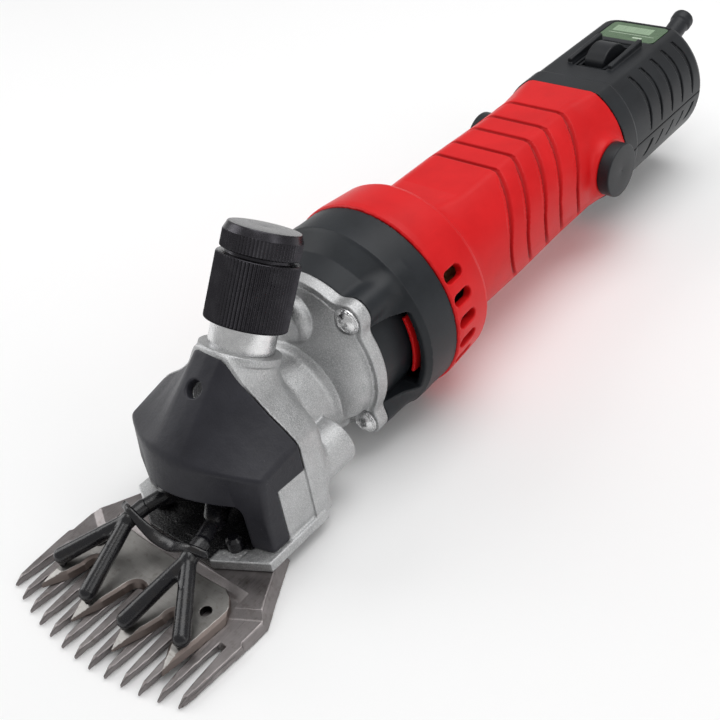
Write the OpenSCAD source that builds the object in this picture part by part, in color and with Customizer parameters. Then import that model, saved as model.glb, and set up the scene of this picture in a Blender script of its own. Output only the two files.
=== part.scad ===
// Electric sheep shears with a three-inch comb.
// The model is drawn about the motor axis: +X to the right, +Y towards the cord end, +Z up,
// with y = 0 where the fan housing meets the motor housing. placed() stands it on the ground.

/* [Comb and cutter] */
// Width across the outer tooth tips of the comb
comb_w = 76; // [74:0.5:78]
// Number of comb teeth
comb_teeth = 13; // [13:1:13]
// Thickness of the comb teeth
tooth_t = 2.9; // [2.4:0.1:3]
// Thickness of the comb where it is screwed to the head
comb_t = 4.4; // [4:0.1:4.6]
// Thickness of the cutter
cutter_t = 2.6; // [2.2:0.1:2.8]

/* [Head] */
// Lean of the tension knob back from upright, in degrees
knob_lean = 32.4; // [32:0.1:33]
// Radius of the knurled tension nut
nut_r = 12.9; // [12:0.1:13.5]
// Height of the knurled tension nut
nut_h = 19.3; // [18:0.1:20]
// Radius of the lock cap
cap_r = 12.2; // [11:0.1:12.8]
// Radius of the aluminium flange
flange_r = 28.5; // [28:0.1:29]
// Side offset of the four flange screws
screw_xz = 20.2; // [19.8:0.1:20.6]

/* [Motor] */
// Radius of the fan ring, which is also the height of the motor axis
ring_r = 35.4; // [35:0.1:36]
// Radius of the grip at its front
grip_r = 27; // [26.6:0.1:27.4]
// Radius of the grip at its rear
grip_rear_r = 26.2; // [26:0.1:26.6]
// Height of the grip's flat top above the motor axis
grip_flat = 23.8; // [23.6:0.1:24.4]
// Where the grip ends and the rear housing starts
grip_end = 121.5; // [121:0.5:122]
// Where the carbon brushes stand along the axis
brush_y = 110.4; // [110:0.1:111]

/* [Rear housing] */
// Radius of the rear housing
rear_r = 27.8; // [27.6:0.1:28.2]
// Height of its flat top above the motor axis
rear_flat = 23; // [22.8:0.1:23.2]
// Where the rear housing ends
rear_end = 187; // [186:0.5:188]
// Upward lean of the cord boot, in degrees
boot_lean = 17; // [14:0.5:20]

/* [Drive] */
// Gear module
gear_m = 0.5; // [0.5:0.1:0.5]
// Teeth on the armature's pinion
pinion_teeth = 8; // [8:1:8]
// Teeth on the crank gear
gear_teeth = 40; // [40:1:40]
// Throw of the crank pin
throw = 1.1; // [0.9:0.1:1.1]

/* [Hidden] */
$fn = 64;

// Frame
axis_h = ring_r;
total_l = 370.4;
tip_y = -145.2;
mid_y = tip_y + total_l / 2;
fit = 0.05;

// Heights of the cutting plane
ground = -axis_h;
teeth_top = ground + tooth_t;
comb_top = ground + comb_t;
cutter_z = teeth_top + 0.02;
cutter_top = cutter_z + cutter_t;
floor_z = -27.2;

// Comb outline
pitch = comb_w / (comb_teeth - 1);
tip_arc_r = 114.4;
tip_arc_y = tip_y + tip_arc_r;
comb_half = 40.6;
root_y = -117.5;
comb_screw_x = 16.6;
comb_screw_y = -92.5;

// Fork, its pivot and its drive
pivot_y = -78;
crank_z = -12;
centre_distance = gear_m * (pinion_teeth + gear_teeth) / 2;
foot_x = 14;
foot_y = -101;
foot_z = -18.4;
outer_prong = [27.4, -125.4, -26.6];
inner_prong = [8.8, -130, -26.6];
outer_pin = [25.6, -126.4];
inner_pin = [9.2, -130.6];
pin_r = 1.5;

// Tension knob: base is where the nut's lower rim meets its axis
knob_y = -55.4;
knob_z = 26.7;
ball_d = (pivot_y - knob_y) / sin(knob_lean);
ball_z = knob_z + ball_d * cos(knob_lean);
ball_r = 3;

// Head casting
flange_front = -33.2;
flange_back = -28.5;
side_x = 28.75;
mouth_x = 21;
split_y = -70;

// Motor
stator_r = 21.2;
stator_y = [24, 58];
core_y = [25, 57];
armature_r = 13.4;
shaft_r = 3;
seam_z = -1;

// Switch
rocker_y = 154;
rocker_z = 18;
rocker_tilt = 7;

// Cord boot
boot_y = rear_end - 1;
boot_z = -0.5;
boot_tip_r = 4.7;
boot_l = (tip_y + total_l - boot_tip_r * sin(boot_lean) - boot_y) / cos(boot_lean);

// ---------- helpers ----------

module placed() {
    translate([0, -mid_y, axis_h]) children();
}

// Cylinder along Y between two stations
module cyl_y(r, y0, y1, x = 0, z = 0) {
    translate([x, y0, z]) rotate([-90, 0, 0]) cylinder(r = r, h = y1 - y0);
}

module tube_y(r_out, r_in, y0, y1, x = 0, z = 0) {
    difference() {
        cyl_y(r_out, y0, y1, x, z);
        cyl_y(r_in, y0 - 1, y1 + 1, x, z);
    }
}

// Body of revolution about the motor axis from [radius, y] points
module turned_y(points) {
    rotate([-90, 0, 0]) rotate_extrude($fn = 96) polygon(points);
}

// Places children on the knob's axis, with +Z up the axis and 0 at the nut's lower rim
module on_knob(d = 0) {
    translate([0, knob_y, knob_z]) rotate([-knob_lean, 0, 0]) translate([0, 0, d]) children();
}

// Round bar between two points
module rod(a, b, r) {
    d = b - a;
    len = norm(d);
    translate(a)
        rotate([0, acos(d[2] / len), atan2(d[1], d[0])])
            cylinder(r = r, h = len, $fn = 32);
}

module both_sides() {
    children();
    mirror([1, 0, 0]) children();
}

// Ball bearing along Y: two rings and its balls
module bearing_y(r_out, r_in, y0, y1, z = 0) {
    r_mid = (r_out + r_in) / 2;
    race = (r_out - r_in) / 5;
    w = y1 - y0;
    tube_y(r_out, r_out - race, y0, y1, 0, z);
    tube_y(r_in + race, r_in, y0, y1, 0, z);
    tube_y(r_mid + 1.6 * race, r_mid - 1.6 * race, y0 + w * 0.2, y1 - w * 0.2, 0, z);
}

function involute(rb, t) = [
    rb * (cos(t) + t * PI / 180 * sin(t)),
    rb * (sin(t) - t * PI / 180 * cos(t))
];

function turned(p, a) = [p[0] * cos(a) - p[1] * sin(a), p[0] * sin(a) + p[1] * cos(a)];

// Roll angle at which the involute of base radius rb reaches radius r
function roll(rb, r) = sqrt(max(0, pow(r / rb, 2) - 1)) * 180 / PI;

// Half of one tooth's outline, from root to tip, with the tooth pointing along +X
function flank(teeth, r_root, r_tip, slack) =
    let (
        rp = gear_m * teeth / 2,
        rb = rp * cos(20),
        inv20 = tan(20) * 180 / PI - 20,
        half = 90 / teeth + inv20 - slack / rp * 90 / PI,
        r0 = max(rb, r_root),
        steps = 5
    )
    concat(
        [turned([r_root, 0], -half)],
        [for (i = [0:steps])
            turned(involute(rb, roll(rb, r0 + (r_tip - r0) * i / steps)), -half)]
    );

module spur_gear_2d(teeth, r_root, r_tip, slack) {
    side = flank(teeth, r_root, r_tip, slack);
    count = len(side);
    mirrored = [for (i = [count - 1:-1:0]) [side[i][0], -side[i][1]]];
    circle(r = r_root + 0.01, $fn = 96);
    for (k = [0:teeth - 1])
        rotate(k * 360 / teeth) polygon(concat([[0, 0]], side, mirrored));
}

// ---------- comb and cutter ----------

module comb_tooth_2d(x) {
    tip = tip_arc_y - sqrt(pow(tip_arc_r, 2) - x * x);
    polygon([
        [x - 2.3, root_y + 4], [x - 2.25, root_y], [x - 1.7, tip + 10], [x - 0.55, tip + 0.8],
        [x, tip], [x + 0.55, tip + 0.8], [x + 1.7, tip + 10], [x + 2.25, root_y],
        [x + 2.3, root_y + 4]
    ]);
}

module comb_plate_2d() {
    side = [
        [28.3, -83], [36.3, -98.1], [38.7, -102.2], [comb_half, -105.8],
        [comb_half - 0.2, -113.4], [39.9, -120.6], [39.3, -129], [38.7, -136.2],
        [38.1, -138.5], [37.2, -130], [36.5, root_y - 2], [34.8, root_y]
    ];
    polygon(concat(
        side,
        [for (i = [len(side) - 1:-1:0]) [-side[i][0], side[i][1]]]
    ));
}

// The thicker rear of the plate, with a bay for the cutter between two shoulders
module comb_back_2d() {
    bay_half = 31.1;
    bay_y = -101.2;
    polygon([
        [28.3, -83], [36.3, -98.1], [38.2, -102.2], [bay_half, -106.5], [bay_half, bay_y],
        [-bay_half, bay_y], [-bay_half, -106.5], [-38.2, -102.2], [-36.3, -98.1], [-28.3, -83]
    ]);
}

module comb() {
    color("dimgray") placed() difference() {
        union() {
            translate([0, 0, ground]) linear_extrude(tooth_t) {
                comb_plate_2d();
                for (i = [0:comb_teeth - 1])
                    comb_tooth_2d((i - (comb_teeth - 1) / 2) * pitch);
            }
            translate([0, 0, ground]) linear_extrude(comb_t) comb_back_2d();
        }
        both_sides() {
            // open slot for the screw's shank and a wider one for its head
            translate([comb_screw_x, comb_screw_y, ground - 1]) cylinder(r = 2.7, h = 9);
            translate([comb_screw_x - 2.7, comb_screw_y, ground - 1]) cube([5.4, 16, 9]);
            translate([comb_screw_x, comb_screw_y, ground - 1]) cylinder(r = 5.2, h = 3);
            translate([comb_screw_x - 5.2, comb_screw_y, ground - 1]) cube([10.4, 16, 3]);
        }
    }
}

module comb_screws() {
    color("gray") placed() both_sides() translate([comb_screw_x, comb_screw_y, 0]) {
        difference() {
            translate([0, 0, ground + 0.2]) cylinder(r = 5, h = 1.8);
            translate([-6, -0.6, ground - 1]) cube([12, 1.2, 2]);
        }
        translate([0, 0, ground + 1]) cylinder(r = 2.5, h = -22.5 - ground - 1 - 1.2);
        translate([0, 0, -23.7]) cylinder(r1 = 2.5, r2 = 1.6, h = 1.2);
    }
}

// Cutter outline: four long teeth with round valleys between them
module cutter_2d() {
    tooth = comb_w / 4 - 0.5;
    difference() {
        polygon([
            [-31, -112.6], [-28.8, -108.4], [-26, -105.6], [-23.5, -104.4], [-14, -105],
            [14, -105], [23.5, -104.4], [26, -105.6], [28.8, -108.4], [31, -112.6],
            [30.3, -122.3], [28.4, -134.9], [27.4, -134.9], [22.6, -128], [21, -122.2],
            [15.7, -122.2], [14, -128], [9.9, -137.9], [8.9, -137.9], [5, -130],
            [3.4, -122.4], [-3.4, -122.4], [-5, -130], [-8.9, -137.9], [-9.9, -137.9],
            [-14, -128], [-15.7, -122.2], [-21, -122.2], [-22.6, -128], [-27.4, -134.9],
            [-28.4, -134.9], [-30.3, -122.3]
        ]);
        for (x = [-tooth, 0, tooth])
            translate([x, -121]) circle(r = 4.2, $fn = 48);
    }
}

module cutter() {
    color("gray") placed() difference() {
        translate([0, 0, cutter_z]) linear_extrude(cutter_t) cutter_2d();
        both_sides() {
            translate([24.2, -113.4, cutter_z - 1]) cylinder(r = 1.8, h = 6);
            for (pin = [outer_pin, inner_pin])
                translate([pin[0], pin[1], cutter_top - 2.1]) cylinder(r = pin_r + fit, h = 6);
        }
    }
}

// ---------- fork ----------

// One arm from the hub forward to the socket of its foot
module fork_arm() {
    hull() {
        translate([3, pivot_y - 2, -20]) cylinder(r = 4, h = 10, $fn = 32);
        translate([foot_x - 3.5, foot_y + 8, foot_z - 2.4]) cylinder(r = 2.6, h = 5.2, $fn = 32);
    }
    rod([foot_x - 3.5, foot_y + 8, foot_z], [foot_x - 1, foot_y, foot_z - 0.6], 2.5);
}

module fork() {
    color("dimgray") placed() difference() {
        union() {
            translate([0, pivot_y, -21]) cylinder(r = 8, h = 11.8);
            both_sides() {
                fork_arm();
                // side plates of the open drive slot
                translate([6.9, pivot_y + 5, -17]) cube([2.5, 17.8, 9.5]);
                translate([3, pivot_y + 3, -17]) cube([6.4, 6, 9.5]);
            }
        }
        translate([0, pivot_y, -22]) cylinder(r = ball_r, h = 7.5);
        translate([0, pivot_y, ball_z - 3.7]) cylinder(r = 5, h = 10);
        translate([-6.9, pivot_y + 9, -22]) cube([13.8, 40, 20]);
        translate([-30, foot_y - 20, -40]) cube([60, 20, 40]);
    }
}

module fork_cup() {
    color("silver") placed() difference() {
        translate([0, pivot_y, ball_z - 3.7]) cylinder(r = 5, h = 1.9);
        translate([0, pivot_y, ball_z]) sphere(r = ball_r + fit);
    }
}

// Two-pronged foot that carries the cutter: socket on the fork arm, a prong to each tooth
module foot_shape() {
    knuckle = [foot_x, foot_y - 4.3, foot_z - 1];
    for (tip = [outer_prong, inner_prong]) {
        rod(knuckle, tip, 2.8);
        translate(tip - [0, 0, 2.6]) cylinder(r = 2.9, h = 5.2);
    }
    for (pin = [outer_pin, inner_pin])
        translate([pin[0], pin[1], cutter_top - 2]) cylinder(r = pin_r, h = 4.6);
    translate(knuckle - [0, 0, 3.3]) cylinder(r = 3.7, h = 6.6);
    cyl_y(3.2, knuckle[1], foot_y, foot_x, knuckle[2]);
}

module foot_right() {
    color("darkslategray") placed() foot_shape();
}

module foot_left() {
    color("darkslategray") placed() mirror([1, 0, 0]) foot_shape();
}

// Curved spring strap that holds both feet on the fork
module retaining_clip() {
    bow_r = 60;
    bow_y = foot_y - 5.6 + bow_r;
    strap_t = 1.1;
    color("dimgray") placed() difference() {
        translate([0, bow_y, foot_z - 7]) cylinder(r = bow_r, h = 5, $fn = 96);
        translate([0, bow_y, foot_z - 8]) cylinder(r = bow_r - strap_t, h = 7, $fn = 96);
        translate([-60, foot_y - 1, -60]) cube([120, 120, 80]);
        both_sides() translate([19.5, -140, -60]) cube([60, 80, 80]);
        both_sides() foot_shape();
    }
}

module centre_post() {
    color("silver") placed() {
        translate([0, pivot_y, floor_z + 2]) cylinder(r = ball_r - fit, h = -17.7 - floor_z - 2);
        translate([0, pivot_y, -17.7]) sphere(r = ball_r - fit);
        translate([0, pivot_y, floor_z]) cylinder(r = 6, h = 2);
    }
}

// ---------- head ----------

// Outer form of the hood over the head's nose, or the same form set back by inset
module nose_form(inset) {
    s = 1 - inset / side_x;
    lip_x = 20;
    hull() {
        for (side = [-1, 1]) {
            translate([side * 6 * s, -71.4, 27.4 - 1.2 * inset]) cube(0.01, center = true);
            translate([side * 29.5 * s, split_y, 3.3 - inset]) cube(0.01, center = true);
            translate([side * 29.5 * s, split_y, floor_z]) cube(0.01, center = true);
            translate([side * side_x * s, -88 + inset, floor_z]) cube(0.01, center = true);
            translate([side * 22 * s, -93 + inset, floor_z]) cube(0.01, center = true);
        }
        for (i = [-3:3]) {
            x = i / 3 * side_x;
            translate([x * s, -96 + 0.0126 * x * x + inset, 5.1 - 0.0051 * x * x - inset])
                cube(0.01, center = true);
            u = i / 3 * lip_x;
            translate([u * s, -100.2 + 0.0254 * u * u + inset, -5.9 - 0.0124 * u * u])
                cube(0.01, center = true);
        }
    }
}

// Opening of the mouth, seen from the front, with its arched upper lip
module mouth_2d() {
    polygon(concat(
        [[-mouth_x, floor_z]],
        [for (i = [-6:6]) [i / 6 * mouth_x, -6 - 0.0124 * pow(i / 6 * mouth_x, 2)]],
        [[mouth_x, floor_z]]
    ));
}

module mouth_cut(y0, y1) {
    translate([0, y1, 0]) rotate([90, 0, 0]) linear_extrude(y1 - y0) mouth_2d();
}

module rubber_guard() {
    color("darkslategray") placed() difference() {
        nose_form(0);
        nose_form(3);
        head_bell();
        translate([-50, split_y - 0.02, -60]) cube([100, 60, 120]);
        translate([-50, -81.02, -60]) cube([100, 60, 53.02]);
        translate([-50, -120, floor_z - 1]) cube([100, 60, 1.02]);
        mouth_cut(-120, -60);
        // oil hole
        translate([0, -80.3, 19.7]) rotate([42, 0, 0]) translate([0, 0, -12]) cylinder(r = 3, h = 24);
        on_knob(-30) cylinder(r = 13.3, h = 60);
    }
}

// Small block that stands for a corner of a hulled form
module corner(x, y, z) {
    translate([x, y, z]) cube(0.6, center = true);
}

// Bell between the knob's collar, the wide nose and the neck
module head_bell() {
    front = split_y + 0.3;
    hull() {
        on_knob(-10.6) rotate(5) cylinder(r = 12.3, h = 2.2, $fn = 36);
        for (side = [-1, 1]) {
            corner(side * 5.2, front, 25.6);
            corner(side * 29.2, front, 3);
            corner(side * 29.2, front, floor_z - 1.2);
            corner(side * 26.2, -57.8, -1.3);
            corner(side * 28.7, -59.8, -10);
            corner(side * 28.7, -62.3, floor_z - 1.2);
            corner(side * 12, -54.3, -25);
        }
    }
}

// Nose of the casting under the guard, a little smaller than the guard's inside
module nose_core() {
    back = split_y + 1;
    hull()
        for (side = [-1, 1]) {
            corner(side * 4.4, -71.6, 22.2);
            corner(side * 25.4, back, -1);
            corner(side * 25.4, back, floor_z - 1);
            corner(side * 24.6, -83.6, floor_z - 1);
            corner(side * 18.6, -88.6, floor_z - 1);
            corner(side * 4.1, -91.8, 1.2);
            corner(side * 15.1, -88.4, -0.6);
            corner(side * 24, -81.6, -3.4);
            corner(side * 4.1, -94.4, -4.4);
            corner(side * 12.3, -90.6, -5.4);
            corner(side * 16.8, -85.6, -7.9);
        }
}

module foot_plate_2d() {
    polygon([
        [-14, -100.6], [14, -100.6], [30.3, -91.6], [30.3, -66], [25, -60],
        [-25, -60], [-30.3, -66], [-30.3, -91.6]
    ]);
}

module flange_plate() {
    cyl_y(flange_r, flange_front, flange_back);
    cyl_y(26.6, flange_front - 1.2, flange_front);
    for (x = [-1, 1], z = [-1, 1])
        cyl_y(5.4, flange_front, flange_back, x * screw_xz, z * screw_xz);
}

module head_casting() {
    color("silver") placed() difference() {
        union() {
            flange_plate();
            // gear dome
            hull() {
                cyl_y(25.8, flange_front - 1.2, flange_front, $fn = 48);
                cyl_y(18.4, -41.5, -40, 0, -9.4, $fn = 48);
            }
            cyl_y(16.6, -62, -36, 0, -10.5);
            head_bell();
            nose_core();
            // cheeks behind the guard
            both_sides()
                translate([mouth_x, -81, floor_z - 1]) cube([side_x - mouth_x, 15, 21.2]);
            translate([0, 0, comb_top]) linear_extrude(floor_z - comb_top) foot_plate_2d();
            both_sides() {
                cyl_y(8.3, -62, -48, 20.5, -16.5);
                translate([comb_screw_x, comb_screw_y, floor_z - 1]) cylinder(r = 4.2, h = 4.4);
            }
            // boss behind the knob
            cyl_y(8.4, -40.5, flange_front + 1, 0, 15.8);
            on_knob(-10) cylinder(r = 12.8, h = 2.5);
        }
        // gear chamber and pinion pocket
        cyl_y(11.6, -39, -20, 0, crank_z);
        cyl_y(4.2, -39, -20);
        // crank bearing seat and passage into the fork chamber
        cyl_y(9.5, -49, -30, 0, crank_z);
        cyl_y(7.4, -56, -40, 0, crank_z);
        // fork chamber
        translate([-11.5, -67, -20.5]) cube([23, 15.5, 17]);
        translate([-19, -93, floor_z]) cube([38, 26.5, 22.2]);
        mouth_cut(-120, -84);
        // bores for the tension sleeve and the tension pin
        on_knob(-16) cylinder(r = 7, h = 40);
        on_knob(-46) cylinder(r = 4, h = 40);
        translate([0, -80.3, 19.7]) rotate([42, 0, 0]) translate([0, 0, -9]) cylinder(r = 2, h = 24);
        for (x = [-1, 1], z = [-1, 1])
            cyl_y(2.2, -40, -20, x * screw_xz, z * screw_xz);
        for (x = [-1, 1], z = [-1, 1])
            cyl_y(5.1, -45, flange_front, x * screw_xz, z * screw_xz);
        both_sides() translate([comb_screw_x, comb_screw_y, -40]) cylinder(r = 2.5, h = 30);
    }
}

// ---------- tension knob ----------

module tension_sleeve() {
    color("silver") placed() on_knob() difference() {
        union() {
            translate([0, 0, -16]) cylinder(r = 7, h = 9);
            translate([0, 0, -7.5]) cylinder(r = 10.3, h = 8);
            translate([0, 0, 0]) cylinder(r = 7, h = 15);
        }
        translate([0, 0, -20]) cylinder(r = ball_r + fit, h = 40);
    }
}

module tension_pin() {
    color("silver") placed() on_knob() {
        translate([0, 0, ball_d]) sphere(r = ball_r);
        translate([0, 0, ball_d]) cylinder(r = ball_r, h = 15.6 - ball_d);
    }
}

// Straight knurl: shallow grooves cut round a cylinder
module knurled(r, h, count) {
    difference() {
        cylinder(r = r, h = h, $fn = 96);
        for (k = [0:count - 1])
            rotate(k * 360 / count) translate([r, 0, -1])
                rotate(45) cube([0.7, 0.7, 2 * h + 2], center = true);
    }
}

module tension_nut() {
    color("darkslategray") placed() on_knob() difference() {
        union() {
            knurled(nut_r, nut_h, 60);
            cylinder(r = 10.4, h = 21.45);
            cylinder(r = 5, h = 27);
        }
        translate([0, 0, -1]) cylinder(r = 10.6, h = 6);
        translate([0, 0, -1]) cylinder(r = 7 + fit, h = 16.6);
    }
}

module lock_cap() {
    color("darkslategray") placed() on_knob(21.5) difference() {
        union() {
            knurled(cap_r, 5.4, 60);
            translate([0, 0, 5.4]) cylinder(r1 = cap_r - 0.3, r2 = cap_r - 1.1, h = 2.4);
        }
        translate([0, 0, -1]) cylinder(r = 5 + fit, h = 7);
    }
}

// ---------- flange fasteners ----------

module at_flange_screws() {
    for (x = [-1, 1], z = [-1, 1])
        translate([x * screw_xz, flange_front, z * screw_xz]) rotate([90, 0, 0]) children();
}

module flange_screws() {
    color("silver") placed() at_flange_screws() difference() {
        union() {
            translate([0, 0, 0.8]) cylinder(r = 3.7, h = 1.3);
            translate([0, 0, 2.1]) cylinder(r1 = 3.7, r2 = 2.4, h = 1.1);
            translate([0, 0, -16]) cylinder(r = 2, h = 17);
        }
        translate([-2.1, -0.45, 1.8]) cube([4.2, 0.9, 3]);
        translate([-0.45, -2.1, 1.8]) cube([0.9, 4.2, 3]);
    }
}

module flange_washers() {
    color("silver") placed() at_flange_screws() difference() {
        cylinder(r = 4.5, h = 0.8);
        translate([0, 0, -1]) cylinder(r = 2 + fit, h = 3);
    }
}

// ---------- gear drive ----------

module drive_gear() {
    r_tip = gear_m * gear_teeth / 2 + 0.24;
    r_root = centre_distance - gear_m * pinion_teeth / 2 - gear_m - 0.12;
    color("gray") placed() translate([0, -30, crank_z]) rotate([90, 0, 0])
        linear_extrude(5.5) difference() {
            rotate(90) spur_gear_2d(gear_teeth, r_root, r_tip, 0.05);
            circle(r = 4);
        }
}

module crankshaft() {
    color("silver") placed() {
        cyl_y(4, -51.4, -28.8, 0, crank_z);
        cyl_y(2.5, -28.9, -23.9, 0, crank_z);
        cyl_y(6.6, -54.4, -51.4, 0, crank_z);
        cyl_y(2.2, -61, -54.4, 0, crank_z + throw);
    }
}

module crank_roller() {
    color("gray") placed() tube_y(4.2, 2.2, -60, -55, 0, crank_z + throw);
}

module crank_front_bearing() {
    color("silver") placed() bearing_y(9.5, 4, -48.8, -42.8, crank_z);
}

module crank_rear_bearing() {
    color("silver") placed() bearing_y(6.5, 2.5, -28.4, -23.9, crank_z);
}

// ---------- fan housing ----------

module fan_housing() {
    color("darkslategray") placed() difference() {
        union() {
            turned_y([[0, flange_back], [flange_r - 0.5, flange_back], [30.6, -21], [34.2, -14.2],
                [34.7, -12], [34.7, 0], [31.6, 0], [31.6, 3], [0, 3]]);
            for (x = [-1, 1], z = [-1, 1])
                cyl_y(5.4, flange_back, -12, x * screw_xz, z * screw_xz);
        }
        // fan chamber, open to the motor
        turned_y([[0, -13], [29.4, -13], [30, -11], [30, 4], [0, 4]]);
        // side windows, open forward between the screw pillars
        both_sides() intersection() {
            tube_y(31.2, 26.6, -24, -12);
            translate([20, -40, -16]) cube([30, 40, 32]);
        }
        // seats of the armature bearing and of the crank's rear bearing
        cyl_y(9.5, -20.5, -12);
        cyl_y(6.6, -29, -12);
        cyl_y(6.5, -28.5, -23.8, 0, crank_z);
        for (x = [-1, 1], z = [-1, 1])
            cyl_y(2, -30, -16.4, x * screw_xz, z * screw_xz);
        // recess of the sides in front of the windows
        both_sides() difference() {
            translate([0, flange_back - 1, -15]) cube([40, 12.5, 30]);
            cyl_y(26.6, flange_back - 2, 0);
        }
    }
}

// ---------- motor ----------

module front_bearing() {
    color("silver") placed() bearing_y(9.5, shaft_r, -20.3, -14.3);
}

module rear_bearing() {
    color("silver") placed() bearing_y(8, 2.5, 119, 124);
}

module fan() {
    blades = 12;
    color("dimgray") placed() difference() {
        union() {
            cyl_y(8, -11, 6);
            cyl_y(27.5, 4, 6);
            for (k = [0:blades - 1])
                rotate([0, k * 360 / blades, 0]) translate([5, -9, -0.8]) cube([22.4, 14, 1.6]);
        }
        cyl_y(shaft_r, -12, 8);
    }
}

module armature_shaft() {
    r_tip = gear_m * pinion_teeth / 2 + gear_m;
    r_root = centre_distance - gear_m * gear_teeth / 2 - 0.24 - 0.12;
    color("silver") placed() {
        cyl_y(shaft_r, -20.8, 118.5);
        cyl_y(2.5, 118, 125);
        cyl_y(r_root, -36, -20);
        translate([0, -28.6, 0]) rotate([90, 0, 0]) linear_extrude(7.4)
            rotate(90 + 180 / pinion_teeth) spur_gear_2d(pinion_teeth, r_root, r_tip, 0.05);
    }
}

module armature_core() {
    slots = 12;
    color("gray") placed() difference() {
        cyl_y(armature_r, core_y[0], core_y[1]);
        cyl_y(shaft_r, core_y[0] - 2, core_y[1] + 2);
        for (k = [0:slots - 1])
            rotate([0, k * 360 / slots, 0]) {
                translate([10.6, core_y[0] - 2, -0.5]) cube([6, core_y[1] - core_y[0] + 4, 1]);
                cyl_y(1.9, core_y[0] - 2, core_y[1] + 2, 9.4, 0);
            }
    }
}

module armature_windings() {
    slots = 12;
    color("peru") placed() {
        tube_y(12.4, 6.5, core_y[0] - 7, core_y[0]);
        tube_y(12.4, 6.5, core_y[1], core_y[1] + 7);
        for (k = [0:slots - 1])
            rotate([0, k * 360 / slots, 0]) cyl_y(1.85, core_y[0] - 1, core_y[1] + 1, 9.4, 0);
    }
}

module commutator() {
    bars = 24;
    color("peru") placed() difference() {
        cyl_y(10, 104, 116.5);
        cyl_y(shaft_r, 99, 120);
        for (k = [0:bars - 1])
            rotate([0, k * 360 / bars, 0]) translate([9, 99, -0.25]) cube([3, 19, 0.5]);
    }
}

// Stator: outer ring with a pole above and a pole below the armature
module stator_core() {
    color("gray") placed() difference() {
        cyl_y(stator_r, stator_y[0], stator_y[1]);
        cyl_y(14, stator_y[0] - 1, stator_y[1] + 1);
        difference() {
            cyl_y(17.8, stator_y[0] - 1, stator_y[1] + 1);
            translate([-11, stator_y[0] - 2, -30]) cube([22, stator_y[1] - stator_y[0] + 4, 60]);
        }
    }
}

module coil_half() {
    coil_r = [14.7, 17.3];
    difference() {
        union() {
            tube_y(coil_r[1], coil_r[0], stator_y[0] - 8, stator_y[0]);
            tube_y(coil_r[1], coil_r[0], stator_y[1], stator_y[1] + 8);
            difference() {
                tube_y(coil_r[1], coil_r[0], stator_y[0] - 1, stator_y[1] + 1);
                translate([-11.2, stator_y[0] - 2, -30])
                    cube([22.4, stator_y[1] - stator_y[0] + 4, 60]);
            }
        }
        translate([-30, stator_y[0] - 10, -30.3]) cube([60, 60, 30.6]);
    }
}

module field_coils() {
    color("peru") placed() {
        coil_half();
        mirror([0, 0, 1]) coil_half();
    }
}

// ---------- motor housing ----------

// Outer form of the housing: fan ring, shoulder and the flat-topped grip
module motor_form(inset) {
    difference() {
        turned_y([[0, 0], [ring_r - 0.6, 0], [ring_r, 0.6], [ring_r, 3], [34.2, 17.4], [32.6, 20],
            [grip_r - inset, 27], [grip_r - inset, 55], [grip_rear_r - inset, 85],
            [grip_rear_r - inset, grip_end - 13], [rear_r - 0.4 - inset, grip_end],
            [0, grip_end]]);
        translate([-40, 27, grip_flat - inset]) cube([80, 100, 40]);
    }
}

// Each groove crosses the flat, leans to the head down the flank and fades out low on the side
module grip_grooves() {
    depth = 0.8;
    difference() {
        for (y = [56.6, 67.2, 79, 89.6, 102])
            rotate([90, 0, 90]) translate([y, 0, -40]) linear_extrude(80) polygon([
                [-1, 30], [-1, 23.6], [-14.2, 4], [-10.6, -12], [-8.4, -12],
                [-11.8, 4], [1, 22.6], [1, 30]
            ]);
        motor_form(depth);
    }
}

module ring_vents() {
    for (i = [0:4])
        rotate([0, -(28.5 - 13.8 * i), 0]) translate([28, 6.5, 0]) rotate([0, 90, 0]) {
            translate([-2.1, -2.4, 0]) cube([4.2, 4.8, 12]);
            for (s = [-1, 1])
                translate([0, s * 2.4, 0]) cylinder(r = 2.1, h = 12, $fn = 32);
        }
}

module motor_housing() {
    color("red") placed() difference() {
        union() {
            difference() {
                motor_form(0);
                turned_y([[0, -1], [31.6, -1], [31.6, 16.5], [stator_r, 22], [stator_r, 117.5],
                    [0, 117.5]]);
            }
            // brush bosses
            both_sides() intersection() {
                translate([0, brush_y, 0]) rotate([0, 90, 0]) difference() {
                    cylinder(r1 = 13.5, r2 = 11, h = 27.3);
                    translate([0, 0, -1]) cylinder(r = 8, h = 20.5);
                }
                difference() {
                    translate([15, 90, -30]) cube([40, 31.5, 60]);
                    cyl_y(stator_r, 80, 130);
                }
            }
            cyl_y(10.5, 117, 124.5);
        }
        grip_grooves();
        both_sides() ring_vents();
        both_sides() translate([0, brush_y, 0]) rotate([0, 90, 0]) cylinder(r = 5.5, h = 40);
        cyl_y(8, 119, 130);
        cyl_y(4, 110, 130);
        // air passages of the rear wall
        for (k = [0:5])
            rotate([0, k * 60 + 30, 0]) cyl_y(3.4, 110, 130, 15.6, 0);
    }
}

module at_brushes() {
    both_sides() translate([0, brush_y, 0]) rotate([0, 90, 0]) children();
}

module brush_holders() {
    color("goldenrod") placed() at_brushes() difference() {
        translate([0, 0, 11.2]) cylinder(r = 5.5, h = 14.8);
        translate([-2.6, -3.2, 10]) cube([5.2, 6.4, 20]);
    }
}

module carbon_brushes() {
    color("black") placed() at_brushes() difference() {
        translate([-2.5, -3.1, 9.5]) cube([5, 6.2, 9.5]);
        rotate([90, 0, 0]) cylinder(r = 10.02, h = 20, center = true);
    }
}

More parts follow.
